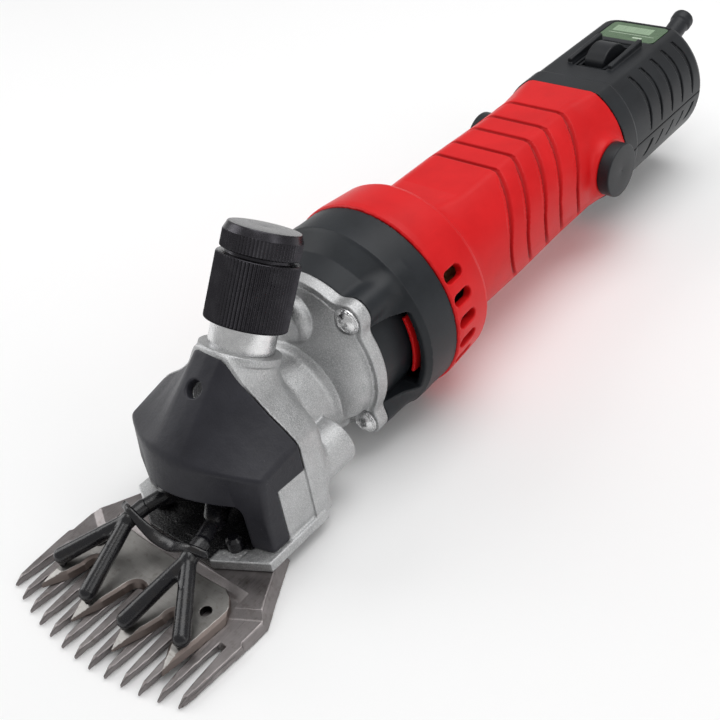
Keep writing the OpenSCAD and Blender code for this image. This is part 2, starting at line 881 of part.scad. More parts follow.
// Coil spring swept along a helix
module helix_spring(r, wire, turns, height) {
    sides = 6;
    rings = turns * 12;
    points = [for (i = [0:rings], j = [0:sides - 1])
        let (a = i * 30, b = j * 360 / sides, rr = r + wire * cos(b))
        [rr * cos(a), rr * sin(a), wire + (height - 2 * wire) * i / rings + wire * sin(b)]];
    faces = concat(
        [[for (j = [0:sides - 1]) j]],
        [for (i = [0:rings - 1], j = [0:sides - 1])
            [i * sides + j, (i + 1) * sides + j, (i + 1) * sides + (j + 1) % sides,
                i * sides + (j + 1) % sides]],
        [[for (j = [sides - 1:-1:0]) rings * sides + j]]
    );
    polyhedron(points, faces);
}

module brush_springs() {
    color("silver") placed() at_brushes() translate([0, 0, 19.1]) helix_spring(1.9, 0.3, 4, 4.8);
}

module brush_caps() {
    color("black") placed() at_brushes() {
        translate([0, 0, 27.35]) cylinder(r = 10.3, h = 3.8);
        translate([0, 0, 31.15]) cylinder(r1 = 10.3, r2 = 9.3, h = 1.2);
        translate([0, 0, 26]) cylinder(r = 5.45, h = 1.5);
        translate([0, 0, 24]) cylinder(r = 2.4, h = 3);
    }
}

// ---------- rear housing ----------

module rear_form(inset) {
    difference() {
        turned_y([[0, grip_end + inset], [rear_r + 0.3 - inset, grip_end + inset],
            [rear_r + 0.3 - inset, 130.5], [rear_r - inset, 131], [rear_r - inset, rear_end - 3.5],
            [rear_r - 1 - inset, rear_end - 1.2 - inset], [rear_r - 3 - inset, rear_end - inset],
            [0, rear_end - inset]]);
        translate([-40, 100, rear_flat - inset]) cube([80, 120, 40]);
    }
}

// Shallow curved grooves over the sides
module rear_grooves() {
    for (i = [0:4])
        translate([0, 142 + 8.7 * i, 0]) rotate([-90, 0, 0]) difference() {
            cylinder(r = 40, h = 2.4);
            translate([0, 0, -1]) cylinder(r = rear_r - 1, h = 5);
            translate([-18, -50, -1]) cube([36, 100, 5]);
        }
}

// Open air slots at the lower sides
module rear_vents() {
    for (i = [0, 4])
        rotate([0, 14, 0]) translate([20, 139 + 8.7 * i, -5]) cube([12, 2.6, 10]);
}

module rear_shell() {
    difference() {
        rear_form(0);
        difference() {
            rear_form(2.4);
            // screw pillars
            both_sides() for (y = [136, 178])
                translate([19, y, -30]) cylinder(r = 4, h = 60);
            // shelf that grips the cord
            translate([-9, 172, -30]) cube([18, 4, 26.4]);
        }
        turned_y([[0, grip_end - 1], [10.7, grip_end - 1], [10.7, grip_end + 6], [0, grip_end + 6]]);
        for (k = [0:5])
            rotate([0, k * 60 + 30, 0]) cyl_y(3.4, 110, 130, 15.6, 0);
        rear_grooves();
        both_sides() rear_vents();
        translate([-6.8, 141.5, 15]) cube([13.6, 25, 20]);
        translate([0, boot_y, boot_z]) rotate([boot_lean - 90, 0, 0]) translate([0, 0, -5])
            cylinder(r = 4.6, h = 20);
        translate([-13, 169.4, rear_flat - 0.6]) cube([26, 16, 2]);
        both_sides() for (y = [136, 178]) {
            translate([19, y, -40]) cylinder(r = 1.5, h = 49);
            translate([19, y, -40]) cylinder(r = 3.1, h = 40 - 12);
        }
    }
    // ribs that guard the switch, a little taller at the rear
    both_sides() rotate([90, 0, 90]) translate([0, 0, 8]) linear_extrude(2)
        polygon([[142, 20], [142, 24.6], [143, 25], [166.5, 25.8], [166.5, 20]]);
}

module rear_housing_upper() {
    color("darkslategray") placed() intersection() {
        rear_shell();
        translate([-50, 100, seam_z]) cube([100, 120, 60]);
    }
}

module rear_housing_lower() {
    color("darkslategray") placed() intersection() {
        rear_shell();
        translate([-50, 100, seam_z - 60]) cube([100, 120, 60]);
    }
}

module housing_screws() {
    color("silver") placed() both_sides() for (y = [136, 178])
        translate([19, y, -12]) difference() {
            union() {
                translate([0, 0, -2]) cylinder(r = 3, h = 2);
                cylinder(r = 1.5, h = 18);
            }
            translate([-2, -0.4, -3]) cube([4, 0.8, 2]);
            translate([-0.4, -2, -3]) cube([0.8, 4, 2]);
        }
}

module switch_body() {
    color("black") placed() difference() {
        translate([-6.6, 142, 4]) cube([13.2, 24, 18]);
        translate([-4.9, 143.5, 12]) cube([9.8, 21, 20]);
        translate([0, rocker_y, rocker_z]) rotate([0, 90, 0]) cylinder(r = 1.25, h = 12.5, center = true);
    }
}

// Rocker with a domed top, resting tilted to its off side on a cross pivot
module switch_rocker() {
    color("black") placed() translate([0, rocker_y, rocker_z]) rotate([-rocker_tilt, 0, 0]) {
        rotate([90, 0, 90]) linear_extrude(9.2, center = true)
            polygon([[-9, 0], [-4, -4], [4, -4], [9, 0], [9.2, 3.4], [8.2, 5.8], [6.2, 7.9],
                [3.4, 9.2], [0.4, 9.6], [-2.6, 9.2], [-5.4, 7.8], [-7.8, 5.4], [-9.2, 3]]);
        rotate([0, 90, 0]) cylinder(r = 1.2, h = 12.4, center = true);
    }
}

module label_plate() {
    color("olivedrab") placed() translate([-12.8, 169.6, rear_flat - 0.6]) cube([25.6, 15.6, 0.9]);
}

// Tapered boot with a collar inside the wall and a flared mouth
module cord_boot() {
    color("darkslategray") placed() translate([0, boot_y, boot_z]) rotate([boot_lean - 90, 0, 0])
        difference() {
            union() {
                translate([0, 0, -3]) cylinder(r = 4.5, h = 7);
                translate([0, 0, 3]) cylinder(r1 = 6.2, r2 = 3.6, h = boot_l - 10);
                translate([0, 0, boot_l - 7.5]) cylinder(r1 = 3.6, r2 = boot_tip_r, h = 4.5);
                translate([0, 0, boot_l - 3]) cylinder(r = boot_tip_r, h = 3);
            }
            translate([0, 0, -5]) cylinder(r = 2.6, h = boot_l + 10);
        }
}

module cord_clamp() {
    color("dimgray") placed() difference() {
        translate([-9, 172, -3.5]) cube([18, 4, 3.5]);
        translate([0, 171, -3.6]) rotate([-90, 0, 0]) cylinder(r = 2.4, h = 6);
        for (s = [-1, 1])
            translate([s * 6, 174, -10]) cylinder(r = 1.2, h = 20);
    }
}

module clamp_screws() {
    color("silver") placed() for (s = [-1, 1])
        translate([s * 6, 174, 0]) {
            cylinder(r = 2, h = 1.6);
            translate([0, 0, -3.4]) cylinder(r = 1.2, h = 4);
        }
}

comb();
comb_screws();
cutter();
fork();
fork_cup();
foot_left();
foot_right();
retaining_clip();
centre_post();
head_casting();
rubber_guard();
tension_sleeve();
tension_pin();
tension_nut();
lock_cap();
flange_screws();
flange_washers();
drive_gear();
crankshaft();
crank_roller();
crank_front_bearing();
crank_rear_bearing();
fan_housing();
front_bearing();
fan();
armature_shaft();
armature_core();
armature_windings();
commutator();
rear_bearing();
stator_core();
field_coils();
motor_housing();
brush_holders();
carbon_brushes();
brush_springs();
brush_caps();
rear_housing_upper();
rear_housing_lower();
housing_screws();
switch_body();
switch_rocker();
label_plate();
cord_boot();
cord_clamp();
clamp_screws();
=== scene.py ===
"""Electric sheep shears: detailed shapes, materials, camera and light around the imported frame."""

import math

import bmesh
import bpy
import numpy as np
from mathutils import Matrix, Vector
from numpy import clip, hypot, interp, maximum, minimum


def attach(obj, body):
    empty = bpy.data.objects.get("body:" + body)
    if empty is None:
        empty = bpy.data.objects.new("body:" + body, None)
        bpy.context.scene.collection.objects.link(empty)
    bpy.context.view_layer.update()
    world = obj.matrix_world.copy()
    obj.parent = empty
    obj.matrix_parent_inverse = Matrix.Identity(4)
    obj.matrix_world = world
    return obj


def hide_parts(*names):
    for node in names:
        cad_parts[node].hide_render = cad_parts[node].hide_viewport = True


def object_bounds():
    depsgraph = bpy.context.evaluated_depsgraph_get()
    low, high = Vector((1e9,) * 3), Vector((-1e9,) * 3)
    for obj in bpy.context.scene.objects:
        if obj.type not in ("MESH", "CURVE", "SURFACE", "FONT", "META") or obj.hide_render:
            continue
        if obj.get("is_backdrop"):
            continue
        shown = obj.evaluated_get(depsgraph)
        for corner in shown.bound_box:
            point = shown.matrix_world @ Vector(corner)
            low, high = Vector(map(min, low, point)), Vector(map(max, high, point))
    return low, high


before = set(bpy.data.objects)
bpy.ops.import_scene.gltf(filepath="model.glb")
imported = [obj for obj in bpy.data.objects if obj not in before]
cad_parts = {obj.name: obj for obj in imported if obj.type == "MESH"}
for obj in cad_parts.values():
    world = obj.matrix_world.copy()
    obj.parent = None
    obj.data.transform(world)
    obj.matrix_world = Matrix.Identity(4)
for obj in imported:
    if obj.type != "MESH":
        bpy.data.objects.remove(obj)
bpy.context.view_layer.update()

# Shapes are worked out in millimetres about the motor axis: X to the right, Y to the cord end, Z up.
MM = 0.001
AXIS_Y, AXIS_Z = -40.0, 35.4
GROUND = -AXIS_Z
# where each grip groove crosses the flat of the grip
GROOVES = (56.6, 67.2, 79.0, 89.6, 102.0)
# the comb screws, the cutter's oil holes, the brush caps, the rocker's pivot and the boot
STUD_X, STUD_Y = 16.6, -92.5
HOLE_X, HOLE_Y = 24.2, -113.4
BRUSH_Y = 110.4
ROCKER_Y, ROCKER_Z = 154, 18
BOOT_Y, BOOT_Z, BOOT_LEAN, BOOT_L = 186, -0.5, math.radians(17), 39.6


# ---------- distance fields ----------


def blend_min(a, b, k):
    """Union of two fields with a fillet of about k."""
    h = clip(0.5 + 0.5 * (b - a) / k, 0, 1)
    return b + (a - b) * h - k * h * (1 - h)


def blend_max(a, b, k):
    """Intersection of two fields with a rounding of about k."""
    return -blend_min(-a, -b, k)


def round_max(a, b, r):
    """Intersection of two crossing walls with an edge radius r."""
    u, v = maximum(a + r, 0), maximum(b + r, 0)
    return np.sqrt(u * u + v * v) - r + minimum(maximum(a, b) + r, 0)


def drum(x, y, z, r, y0, y1, edge=0.4, cx=0.0, cz=0.0):
    """Cylinder along Y with rounded rims."""
    return round_max(hypot(x - cx, z - cz) - r, abs(y - (y0 + y1) / 2) - (y1 - y0) / 2, edge)


def block(x, y, z, low, high, edge=0.4):
    """Box between two corners with rounded edges."""
    q = [abs(c - (a + b) / 2) - (b - a) / 2 + edge for c, a, b in zip((x, y, z), low, high)]
    outside = np.sqrt(sum(maximum(c, 0) ** 2 for c in q))
    return outside + minimum(maximum(maximum(q[0], q[1]), q[2]), 0) - edge


def bar(x, y, z, a, b, ra, rb=None):
    """Round bar between two points, ra thick at a and rb thick at b."""
    rb = ra if rb is None else rb
    d = [q - p for p, q in zip(a, b)]
    t = ((x - a[0]) * d[0] + (y - a[1]) * d[1] + (z - a[2]) * d[2]) / sum(c * c for c in d)
    t = clip(t, 0, 1)
    gap = [c - p - t * e for c, p, e in zip((x, y, z), a, d)]
    return np.sqrt(sum(c * c for c in gap)) - (ra + (rb - ra) * t)


def outline(u, v, points):
    """Distance to a closed polygon in a plane, negative inside."""
    best = np.full(u.shape, 1e9, np.float32)
    inside = np.zeros(u.shape, bool)
    for (u0, v0), (u1, v1) in zip(points, points[1:] + points[:1]):
        du, dv = u1 - u0, v1 - v0
        t = clip(((u - u0) * du + (v - v0) * dv) / (du * du + dv * dv), 0, 1)
        best = minimum(best, (u - u0 - t * du) ** 2 + (v - v0 - t * dv) ** 2)
        if v0 != v1:
            crossing = (v0 > v) != (v1 > v)
            inside ^= crossing & (u < u0 + (v - v0) * du / dv)
    return np.sqrt(best) * np.where(inside, -1, 1)


def turned(x, y, z, points):
    """Body of revolution about the motor axis from [radius, y] points."""
    return outline(hypot(x, z), y, points)


# ---------- meshes ----------

BLOCK = 8
CORNERS = np.array([(i, j, k) for i in (0, 1) for j in (0, 1) for k in (0, 1)])
EDGES = [(a, b) for a in range(8) for b in range(a + 1, 8) if abs(CORNERS[a] - CORNERS[b]).sum() == 1]


def sample(field, low, step, blocks):
    """Field values on a grid. Only blocks near the surface are worked out point by point."""
    centre = [low[a] + (np.arange(blocks[a]) + 0.5) * BLOCK * step for a in range(3)]
    grid = np.meshgrid(*[c.astype(np.float32) for c in centre], indexing="ij")
    rough = field(*grid).astype(np.float32)
    values = rough
    for axis in range(3):
        values = np.repeat(values, BLOCK, axis)
    near = np.argwhere(abs(rough) < BLOCK * step * 1.25)
    cells = values.reshape(blocks[0], BLOCK, blocks[1], BLOCK, blocks[2], BLOCK)
    offset = np.arange(BLOCK)
    for first in range(0, len(near), 1500):
        part = near[first : first + 1500]
        axes = [(low[a] + (part[:, a, None] * BLOCK + offset) * step).astype(np.float32) for a in range(3)]
        x, y, z = axes[0][:, :, None, None], axes[1][:, None, :, None], axes[2][:, None, None, :]
        shape = (len(part), BLOCK, BLOCK, BLOCK)
        x, y, z = (np.broadcast_to(c, shape) for c in (x, y, z))
        cells[part[:, 0], :, part[:, 1], :, part[:, 2], :] = field(x, y, z)
    return values


def slope(field, p, h=0.05):
    """Field value and gradient at points."""
    f = field(*p.T)
    g = np.empty_like(p)
    for a in range(3):
        q, r = p.copy(), p.copy()
        q[:, a] += h
        r[:, a] -= h
        g[:, a] = (field(*q.T) - field(*r.T)) / (2 * h)
    return f, g


def skin(field, low, high, step):
    """Vertices, quads and normals of the field's zero surface, with vertices pulled onto it."""
    low = np.array(low, np.float64) - step * 1.37
    blocks = np.ceil((np.array(high) + step - low) / (BLOCK * step)).astype(int)
    values = sample(field, low, step, blocks)
    solid = values < 0
    count = np.zeros([n - 1 for n in solid.shape], np.uint8)
    for corner in CORNERS:
        count += solid[tuple(slice(c, n - 1 + c) for c, n in zip(corner, solid.shape))]
    cell = np.argwhere((count > 0) & (count < 8))
    corner = np.stack([values[tuple((cell + c).T)] for c in CORNERS], 1)
    total = np.zeros((len(cell), 3))
    hits = np.zeros(len(cell))
    for a, b in EDGES:
        va, vb = corner[:, a], corner[:, b]
        cross = (va < 0) != (vb < 0)
        t = np.where(cross, va / np.where(cross, va - vb, 1), 0)
        at = CORNERS[a] + t[:, None] * (CORNERS[b] - CORNERS[a])
        total += at * cross[:, None]
        hits += cross
    points = low + (cell + total / hits[:, None]) * step
    start = points.copy()
    for _ in range(3):
        f, g = slope(field, points)
        move = -f[:, None] * g / maximum((g * g).sum(1), 0.05)[:, None]
        points = points + clip(move, -step, step) * 0.9
        points = start + clip(points - start, -step, step)
    _, g = slope(field, points)
    normals = g / maximum(np.linalg.norm(g, axis=1), 1e-6)[:, None]
    index = np.full(count.shape, -1, np.int64)
    index[tuple(cell.T)] = np.arange(len(cell))
    quads = []
    for axis in range(3):
        a1, a2 = (axis + 1) % 3, (axis + 2) % 3
        lo, hi = [slice(1, -1)] * 3, [slice(1, -1)] * 3
        lo[axis], hi[axis] = slice(0, -1), slice(1, None)
        change = np.argwhere(solid[tuple(lo)] != solid[tuple(hi)])
        change[:, [a1, a2]] += 1
        inward = solid[tuple(change.T)]
        ring = []
        for s, t in ((0, 0), (1, 0), (1, 1), (0, 1)):
            c = change.copy()
            c[:, a1] -= s
            c[:, a2] -= t
            ring.append(index[tuple(c.T)])
        quad = np.stack(ring, 1)
        quad[~inward] = quad[~inward][:, ::-1]
        quads.append(quad)
    return points, np.concatenate(quads), normals


def to_object(name, points, faces, normals=None):
    """Blender object from points in millimetres about the motor axis."""
    points = (np.asarray(points, float) + (0, AXIS_Y, AXIS_Z)) * MM
    mesh = bpy.data.meshes.new(name)
    n = len(faces)
    mesh.vertices.add(len(points))
    mesh.vertices.foreach_set("co", points.astype(np.float32).ravel())
    mesh.loops.add(n * 4)
    mesh.loops.foreach_set("vertex_index", faces.astype(np.int32).ravel())
    mesh.polygons.add(n)
    mesh.polygons.foreach_set("loop_start", np.arange(n, dtype=np.int32) * 4)
    mesh.update(calc_edges=True)
    mesh.polygons.foreach_set("use_smooth", [True] * n)
    if normals is not None:
        mesh.normals_split_custom_set_from_vertices(normals.tolist())
    made = bpy.data.objects.new(name, mesh)
    bpy.context.scene.collection.objects.link(made)
    return made


def carve(name, field, low, high, step):
    """Object of the field's zero surface."""
    return to_object(name, *skin(field, low, high, step))


def fit(piece, body, nodes, material):
    """Rides the piece on its body, hides the CAD nodes it stands for and gives it its finish."""
    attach(piece, body)
    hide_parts(*nodes)
    finish(piece, material)


def finish(piece, material):
    piece.data.materials.clear()
    piece.data.materials.append(MATERIAL[material])


# ---------- materials ----------


class Nodes:
    """A material's node tree, built with short calls. Coordinates are the object's own, in millimetres."""

    def __init__(self, name):
        self.material = bpy.data.materials.new(name)
        self.material.use_nodes = True
        self.tree = self.material.node_tree
        self.shader = self.tree.nodes["Principled BSDF"]
        self.at = self.new("ShaderNodeTexCoord").outputs["Object"]

    def new(self, kind, **values):
        node = self.tree.nodes.new(kind)
        for key, value in values.items():
            setattr(node, key, value)
        return node

    def link(self, source, target):
        if isinstance(source, bpy.types.NodeSocket):
            self.tree.links.new(source, target)
        else:
            target.default_value = source

    def stretched(self, scale):
        node = self.new("ShaderNodeVectorMath", operation="MULTIPLY")
        self.link(self.at, node.inputs[0])
        node.inputs[1].default_value = scale
        return node.outputs[0]

    def noise(self, per_mm, detail=3.0, rough=0.55, stretch=(1, 1, 1)):
        node = self.new("ShaderNodeTexNoise")
        scale = [per_mm * 1000 * s for s in stretch]
        self.link(self.stretched(scale), node.inputs["Vector"])
        node.inputs["Scale"].default_value = 1
        node.inputs["Detail"].default_value = detail
        node.inputs["Roughness"].default_value = rough
        return node.outputs["Fac"]

    def cells(self, per_mm):
        node = self.new("ShaderNodeTexVoronoi")
        self.link(self.stretched([per_mm * 1000] * 3), node.inputs["Vector"])
        node.inputs["Scale"].default_value = 1
        return node.outputs["Distance"]

    def ramp(self, source, low, high, to_low=0.0, to_high=1.0):
        node = self.new("ShaderNodeMapRange")
        self.link(source, node.inputs["Value"])
        for key, value in (("From Min", low), ("From Max", high), ("To Min", to_low), ("To Max", to_high)):
            node.inputs[key].default_value = value
        return node.outputs["Result"]

    def math(self, operation, a, b=0.0):
        node = self.new("ShaderNodeMath", operation=operation)
        self.link(a, node.inputs[0])
        self.link(b, node.inputs[1])
        return node.outputs[0]

    def times(self, a, b):
        return self.math("MULTIPLY", a, b)

    def minus(self, a, b):
        return self.math("SUBTRACT", a, b)

    def mix(self, amount, a, b):
        node = self.new("ShaderNodeMix", data_type="RGBA")
        self.link(amount, node.inputs["Factor"])
        for value, key in ((a, 6), (b, 7)):
            if isinstance(value, bpy.types.NodeSocket):
                self.link(value, node.inputs[key])
            else:
                node.inputs[key].default_value = (*value, 1)
        return node.outputs[2]

    def axis(self, which):
        node = self.new("ShaderNodeSeparateXYZ")
        self.link(self.at, node.inputs[0])
        return node.outputs[which]

    def bump(self, height, depth_mm, before=None):
        node = self.new("ShaderNodeBump")
        node.inputs["Distance"].default_value = depth_mm * MM
        node.inputs["Strength"].default_value = 1.0
        self.link(height, node.inputs["Height"])
        if before is not None:
            self.link(before, node.inputs["Normal"])
        return node.outputs[0]

    def done(self, color, roughness, metallic=0.0, normal=None, **more):
        s = self.shader.inputs
        if isinstance(color, bpy.types.NodeSocket):
            self.link(color, s["Base Color"])
        else:
            s["Base Color"].default_value = (*color, 1)
        self.link(roughness, s["Roughness"])
        self.link(metallic, s["Metallic"])
        if normal is not None:
            self.link(normal, s["Normal"])
        for key, value in more.items():
            self.link(value, s[key.replace("_", " ")])
        return self.material


def cast_metal():
    n = Nodes("cast_aluminium")
    grain = n.noise(2.4, 2, 0.6)
    blotch = n.noise(0.12, 4, 0.6)
    pits = n.ramp(n.cells(0.55), 0.1, 0.03)
    dirt = n.times(pits, n.ramp(n.noise(0.3, 2), 0.56, 0.66))
    tone = n.mix(n.ramp(blotch, 0.3, 0.7), (0.36, 0.365, 0.37), (0.5, 0.505, 0.51))
    tone = n.mix(n.ramp(grain, 0.42, 0.7, 0, 0.75), tone, (0.72, 0.72, 0.72))
    tone = n.mix(dirt, tone, (0.1, 0.1, 0.1))
    # painted shade: near black, glossier and not metallic inside the mouth, up to a line just behind the
    # foot's front edges
    side = n.math("ABSOLUTE", n.axis("X"))
    y, z = n.axis("Y"), n.axis("Z")
    front = (-99 + AXIS_Y) * MM
    inward = n.math("ADD", n.times(n.minus(side, 0.0129), -0.543),
                    n.times(n.minus(y, front), 0.841))
    inward = n.math("MINIMUM", inward, n.minus(y, front - 0.0005))
    mouth_shade = n.ramp(inward, 0.0014, 0.0026)
    mouth_shade = n.math("MAXIMUM", mouth_shade, n.ramp(n.axis("X"), 0.0138, 0.0128))
    mouth_shade = n.times(mouth_shade, n.ramp(side, 0.0226, 0.0218))
    mouth_shade = n.times(mouth_shade, n.ramp(y, (-65 + AXIS_Y) * MM, (-66 + AXIS_Y) * MM))
    mouth_shade = n.times(mouth_shade, n.ramp(z, (-4 + AXIS_Z) * MM, (-4.5 + AXIS_Z) * MM))
    mouth_shade = n.times(mouth_shade, n.ramp(z, (-30.6 + AXIS_Z) * MM, (-30 + AXIS_Z) * MM))
    # painted shade darkens the inside of the mouth
    tone = n.mix(mouth_shade, tone, (0.008, 0.008, 0.009))
    normal = n.bump(grain, 0.16)
    normal = n.bump(n.noise(0.5, 3), 0.12, normal)
    normal = n.bump(dirt, -0.15, normal)
    rough = n.ramp(grain, 0.3, 0.7, 0.36, 0.54)
    rough = n.minus(rough, n.times(mouth_shade, 0.2))
    return n.done(tone, rough, n.times(n.minus(1.0, mouth_shade), 0.8), normal)


def ground_steel(name, dark, light, rough, along, wall_tone_and_shade=None):
    """Ground tool steel: fine lines along one axis, straw and brown bands, small rub marks."""
    n = Nodes(name)
    stretch = [6.0, 6.0, 6.0]
    stretch["XYZ".index(along)] = 0.15
    lines = n.noise(1.0, 4, 0.65, stretch)
    band = n.noise(0.09, 3, 0.6)
    stain = n.ramp(n.noise(0.35, 4, 0.6), 0.55, 0.75)
    tone = n.mix(n.ramp(band, 0.3, 0.7), dark, light)
    tone = n.mix(n.ramp(lines, 0.35, 0.7, 0, 0.4), tone, [c * 1.3 for c in light])
    tone = n.mix(n.times(stain, 0.5), tone, (0.1, 0.075, 0.065))
    if wall_tone_and_shade:
        # browner ground walls, painted darker than the flat top as shade; painted shade, near black, in the
        # oil holes
        facing = n.new("ShaderNodeSeparateXYZ")
        n.link(n.new("ShaderNodeNewGeometry").outputs["Normal"], facing.inputs[0])
        # the walls' colour is partly a browner grind, partly painted shade
        tone = n.mix(n.ramp(facing.outputs["Z"], 0.93, 0.8), tone, wall_tone_and_shade)
        dx = n.minus(n.math("ABSOLUTE", n.axis("X")), HOLE_X * MM)
        dy = n.minus(n.axis("Y"), (HOLE_Y + AXIS_Y) * MM)
        away = n.math("SQRT", n.math("ADD", n.times(dx, dx), n.times(dy, dy)))
        # painted shade: the oil holes' walls near black
        tone = n.mix(n.ramp(away, 1.95 * MM, 1.8 * MM), tone, (0.004, 0.004, 0.004))
    normal = n.bump(lines, 0.03)
    return n.done(tone, n.ramp(lines, 0.3, 0.7, rough - 0.08, rough + 0.12), 1.0, normal)


def bright_metal(name, tone_low, tone_high, rough):
    n = Nodes(name)
    fine = n.noise(2.2, 3, 0.6)
    haze = n.noise(0.25, 3)
    tone = n.mix(n.ramp(haze, 0.35, 0.65), tone_low, tone_high)
    return n.done(tone, n.ramp(fine, 0.3, 0.7, rough - 0.05, rough + 0.1), 1.0, n.bump(fine, 0.03))


def dark_metal(name, tone, sheen, rough, metallic, per_mm):
    """Black-coated metal, a little browner where it is rubbed."""
    n = Nodes(name)
    fine = n.noise(per_mm, 3, 0.6)
    rubbed = n.ramp(n.noise(0.22, 4, 0.6), 0.5, 0.75)
    color = n.mix(rubbed, tone, sheen)
    normal = n.bump(n.noise(0.4, 3), 0.05, n.bump(fine, 0.035))
    return n.done(color, n.ramp(fine, 0.3, 0.7, rough - 0.06, rough + 0.1), metallic, normal)


def moulded(name, tone, pale, rough, grain_mm=0.02, grooves=(), specular=0.3):
    """Moulded plastic with a fine spark-eroded grain and faint handling marks; painted shade in its grip
    grooves.
    """
    n = Nodes(name)
    grain = n.noise(3.0, 2, 0.6)
    cloud = n.noise(0.05, 4, 0.6)
    rub = n.ramp(n.noise(0.9, 4, 0.7, (1, 0.12, 1)), 0.62, 0.74)
    color = n.mix(n.ramp(cloud, 0.35, 0.65), tone, pale)
    color = n.mix(n.times(rub, 0.12), color, [min(1, c * 1.6 + 0.02) for c in pale])
    if grooves:
        y, z = n.axis("Y"), n.axis("Z")
        high = n.math("POWER", n.ramp(z, (2 + AXIS_Z) * MM, (22.9 + AXIS_Z) * MM), 1.3)
        low = n.math("POWER", n.ramp(z, AXIS_Z * MM, (-20 + AXIS_Z) * MM), 2.0)
        lean = n.math("ADD", n.times(high, 13 * MM), n.times(low, 14 * MM))
        run = n.minus(n.math("ADD", y, 13 * MM), lean)
        near = 1.0
        for place in grooves:
            gap = n.math("ABSOLUTE", n.minus(run, (place + AXIS_Y) * MM))
            near = n.math("MINIMUM", gap, near)
        # painted shade: darker inside the grip grooves, fading out low on the sides
        groove_shade = n.ramp(z, (-15 + AXIS_Z) * MM, (-12 + AXIS_Z) * MM)
        groove_shade = n.times(n.ramp(near, 1.15 * MM, 0.6 * MM), groove_shade)
        color = n.mix(n.times(groove_shade, 0.6), color, [c * 0.3 for c in tone])
    shine = n.ramp(grain, 0.3, 0.7, rough - 0.04, rough + 0.06)
    shine = n.math("ADD", shine, n.ramp(cloud, 0.3, 0.7, -0.03, 0.03))
    return n.done(color, shine, 0.0, n.bump(grain, grain_mm), Specular_IOR_Level=specular)


def rubber(name, tone, pale, rough):
    """Moulded rubber: dull, blue-black, with dust specks and short pale scuffs."""
    n = Nodes(name)
    grain = n.noise(1.8, 4, 0.65)
    cloud = n.noise(0.06, 4, 0.6)
    scuff = n.ramp(n.noise(0.5, 5, 0.75, (1, 0.25, 0.6)), 0.66, 0.78)
    dust = n.times(n.ramp(n.cells(0.32), 0.07, 0.03), n.ramp(n.noise(0.2, 2), 0.5, 0.6))
    color = n.mix(n.ramp(cloud, 0.3, 0.7), tone, pale)
    color = n.mix(n.times(scuff, 0.25), color, (0.12, 0.12, 0.14))
    color = n.mix(n.times(dust, 0.35), color, (0.25, 0.25, 0.27))
    normal = n.bump(grain, 0.04, n.bump(n.noise(0.12, 3), 0.25))
    shine = n.ramp(grain, 0.3, 0.7, rough - 0.05, rough + 0.09)
    return n.done(color, shine, 0.0, normal, Specular_IOR_Level=0.3)


def sheet_stack():
    n = Nodes("laminations")
    sheets = n.new("ShaderNodeTexWave", bands_direction="Y")
    n.link(n.stretched([1000, 1000, 1000]), sheets.inputs["Vector"])
    sheets.inputs["Scale"].default_value = 0.6
    line = sheets.outputs["Fac"]
    rust = n.noise(0.3, 4)
    tone = n.mix(n.ramp(rust, 0.4, 0.7), (0.2, 0.2, 0.21), (0.3, 0.25, 0.2))
    return n.done(tone, 0.5, 0.8, n.bump(line, 0.1))


def wound_wire():
    n = Nodes("copper")
    wires = n.new("ShaderNodeTexWave", bands_direction="Y")
    n.link(n.stretched([1000, 1000, 1000]), wires.inputs["Vector"])
    wires.inputs["Scale"].default_value = 0.5
    wires.inputs["Distortion"].default_value = 1.5
    line = wires.outputs["Fac"]
    return n.done(n.mix(line, (0.3, 0.1, 0.04), (0.75, 0.32, 0.14)), 0.35, 0.7, n.bump(line, 0.2))


def printed_label():
    """Green film with a paler ruled panel and rows of unreadable dashes."""
    n = Nodes("label_film")
    x, y = n.axis("X"), n.axis("Y")
    per = 1 / MM

    def inside(coord, a, b):
        over = n.math("GREATER_THAN", coord, a * MM)
        return n.times(over, n.math("LESS_THAN", coord, b * MM))

    start = 169.6 + AXIS_Y
    panel = n.times(inside(x, -9.5, 7.5), inside(y, start + 7.2, start + 12.6))
    rows = n.math("GREATER_THAN", n.math("SINE", n.times(y, 2 * math.pi * per / 1.15)), 0.25)
    dash = n.ramp(n.noise(1.6, 2, 0.6, (1, 0.02, 0.02)), 0.44, 0.5)
    print_area = n.times(inside(x, -8.6, 6.6), inside(y, start + 7.6, start + 12.2))
    marks = n.times(n.times(rows, dash), print_area)
    rule = n.times(inside(x, -10, 10.5), inside(y, start + 5.3, start + 5.65))
    band = n.times(inside(x, 2.2, 6.4), inside(y, start + 2.4, start + 3.6))
    cloud = n.noise(0.3, 3)
    color = n.mix(n.ramp(cloud, 0.3, 0.7), (0.075, 0.13, 0.07), (0.10, 0.165, 0.09))
    color = n.mix(panel, color, (0.27, 0.38, 0.25))
    color = n.mix(n.times(marks, 0.5), color, (0.14, 0.2, 0.13))
    color = n.mix(n.math("MAXIMUM", rule, band), color, (0.45, 0.55, 0.42))
    return n.done(color, n.ramp(cloud, 0.3, 0.7, 0.22, 0.34), 0.0, n.bump(n.noise(0.8, 2), 0.02))


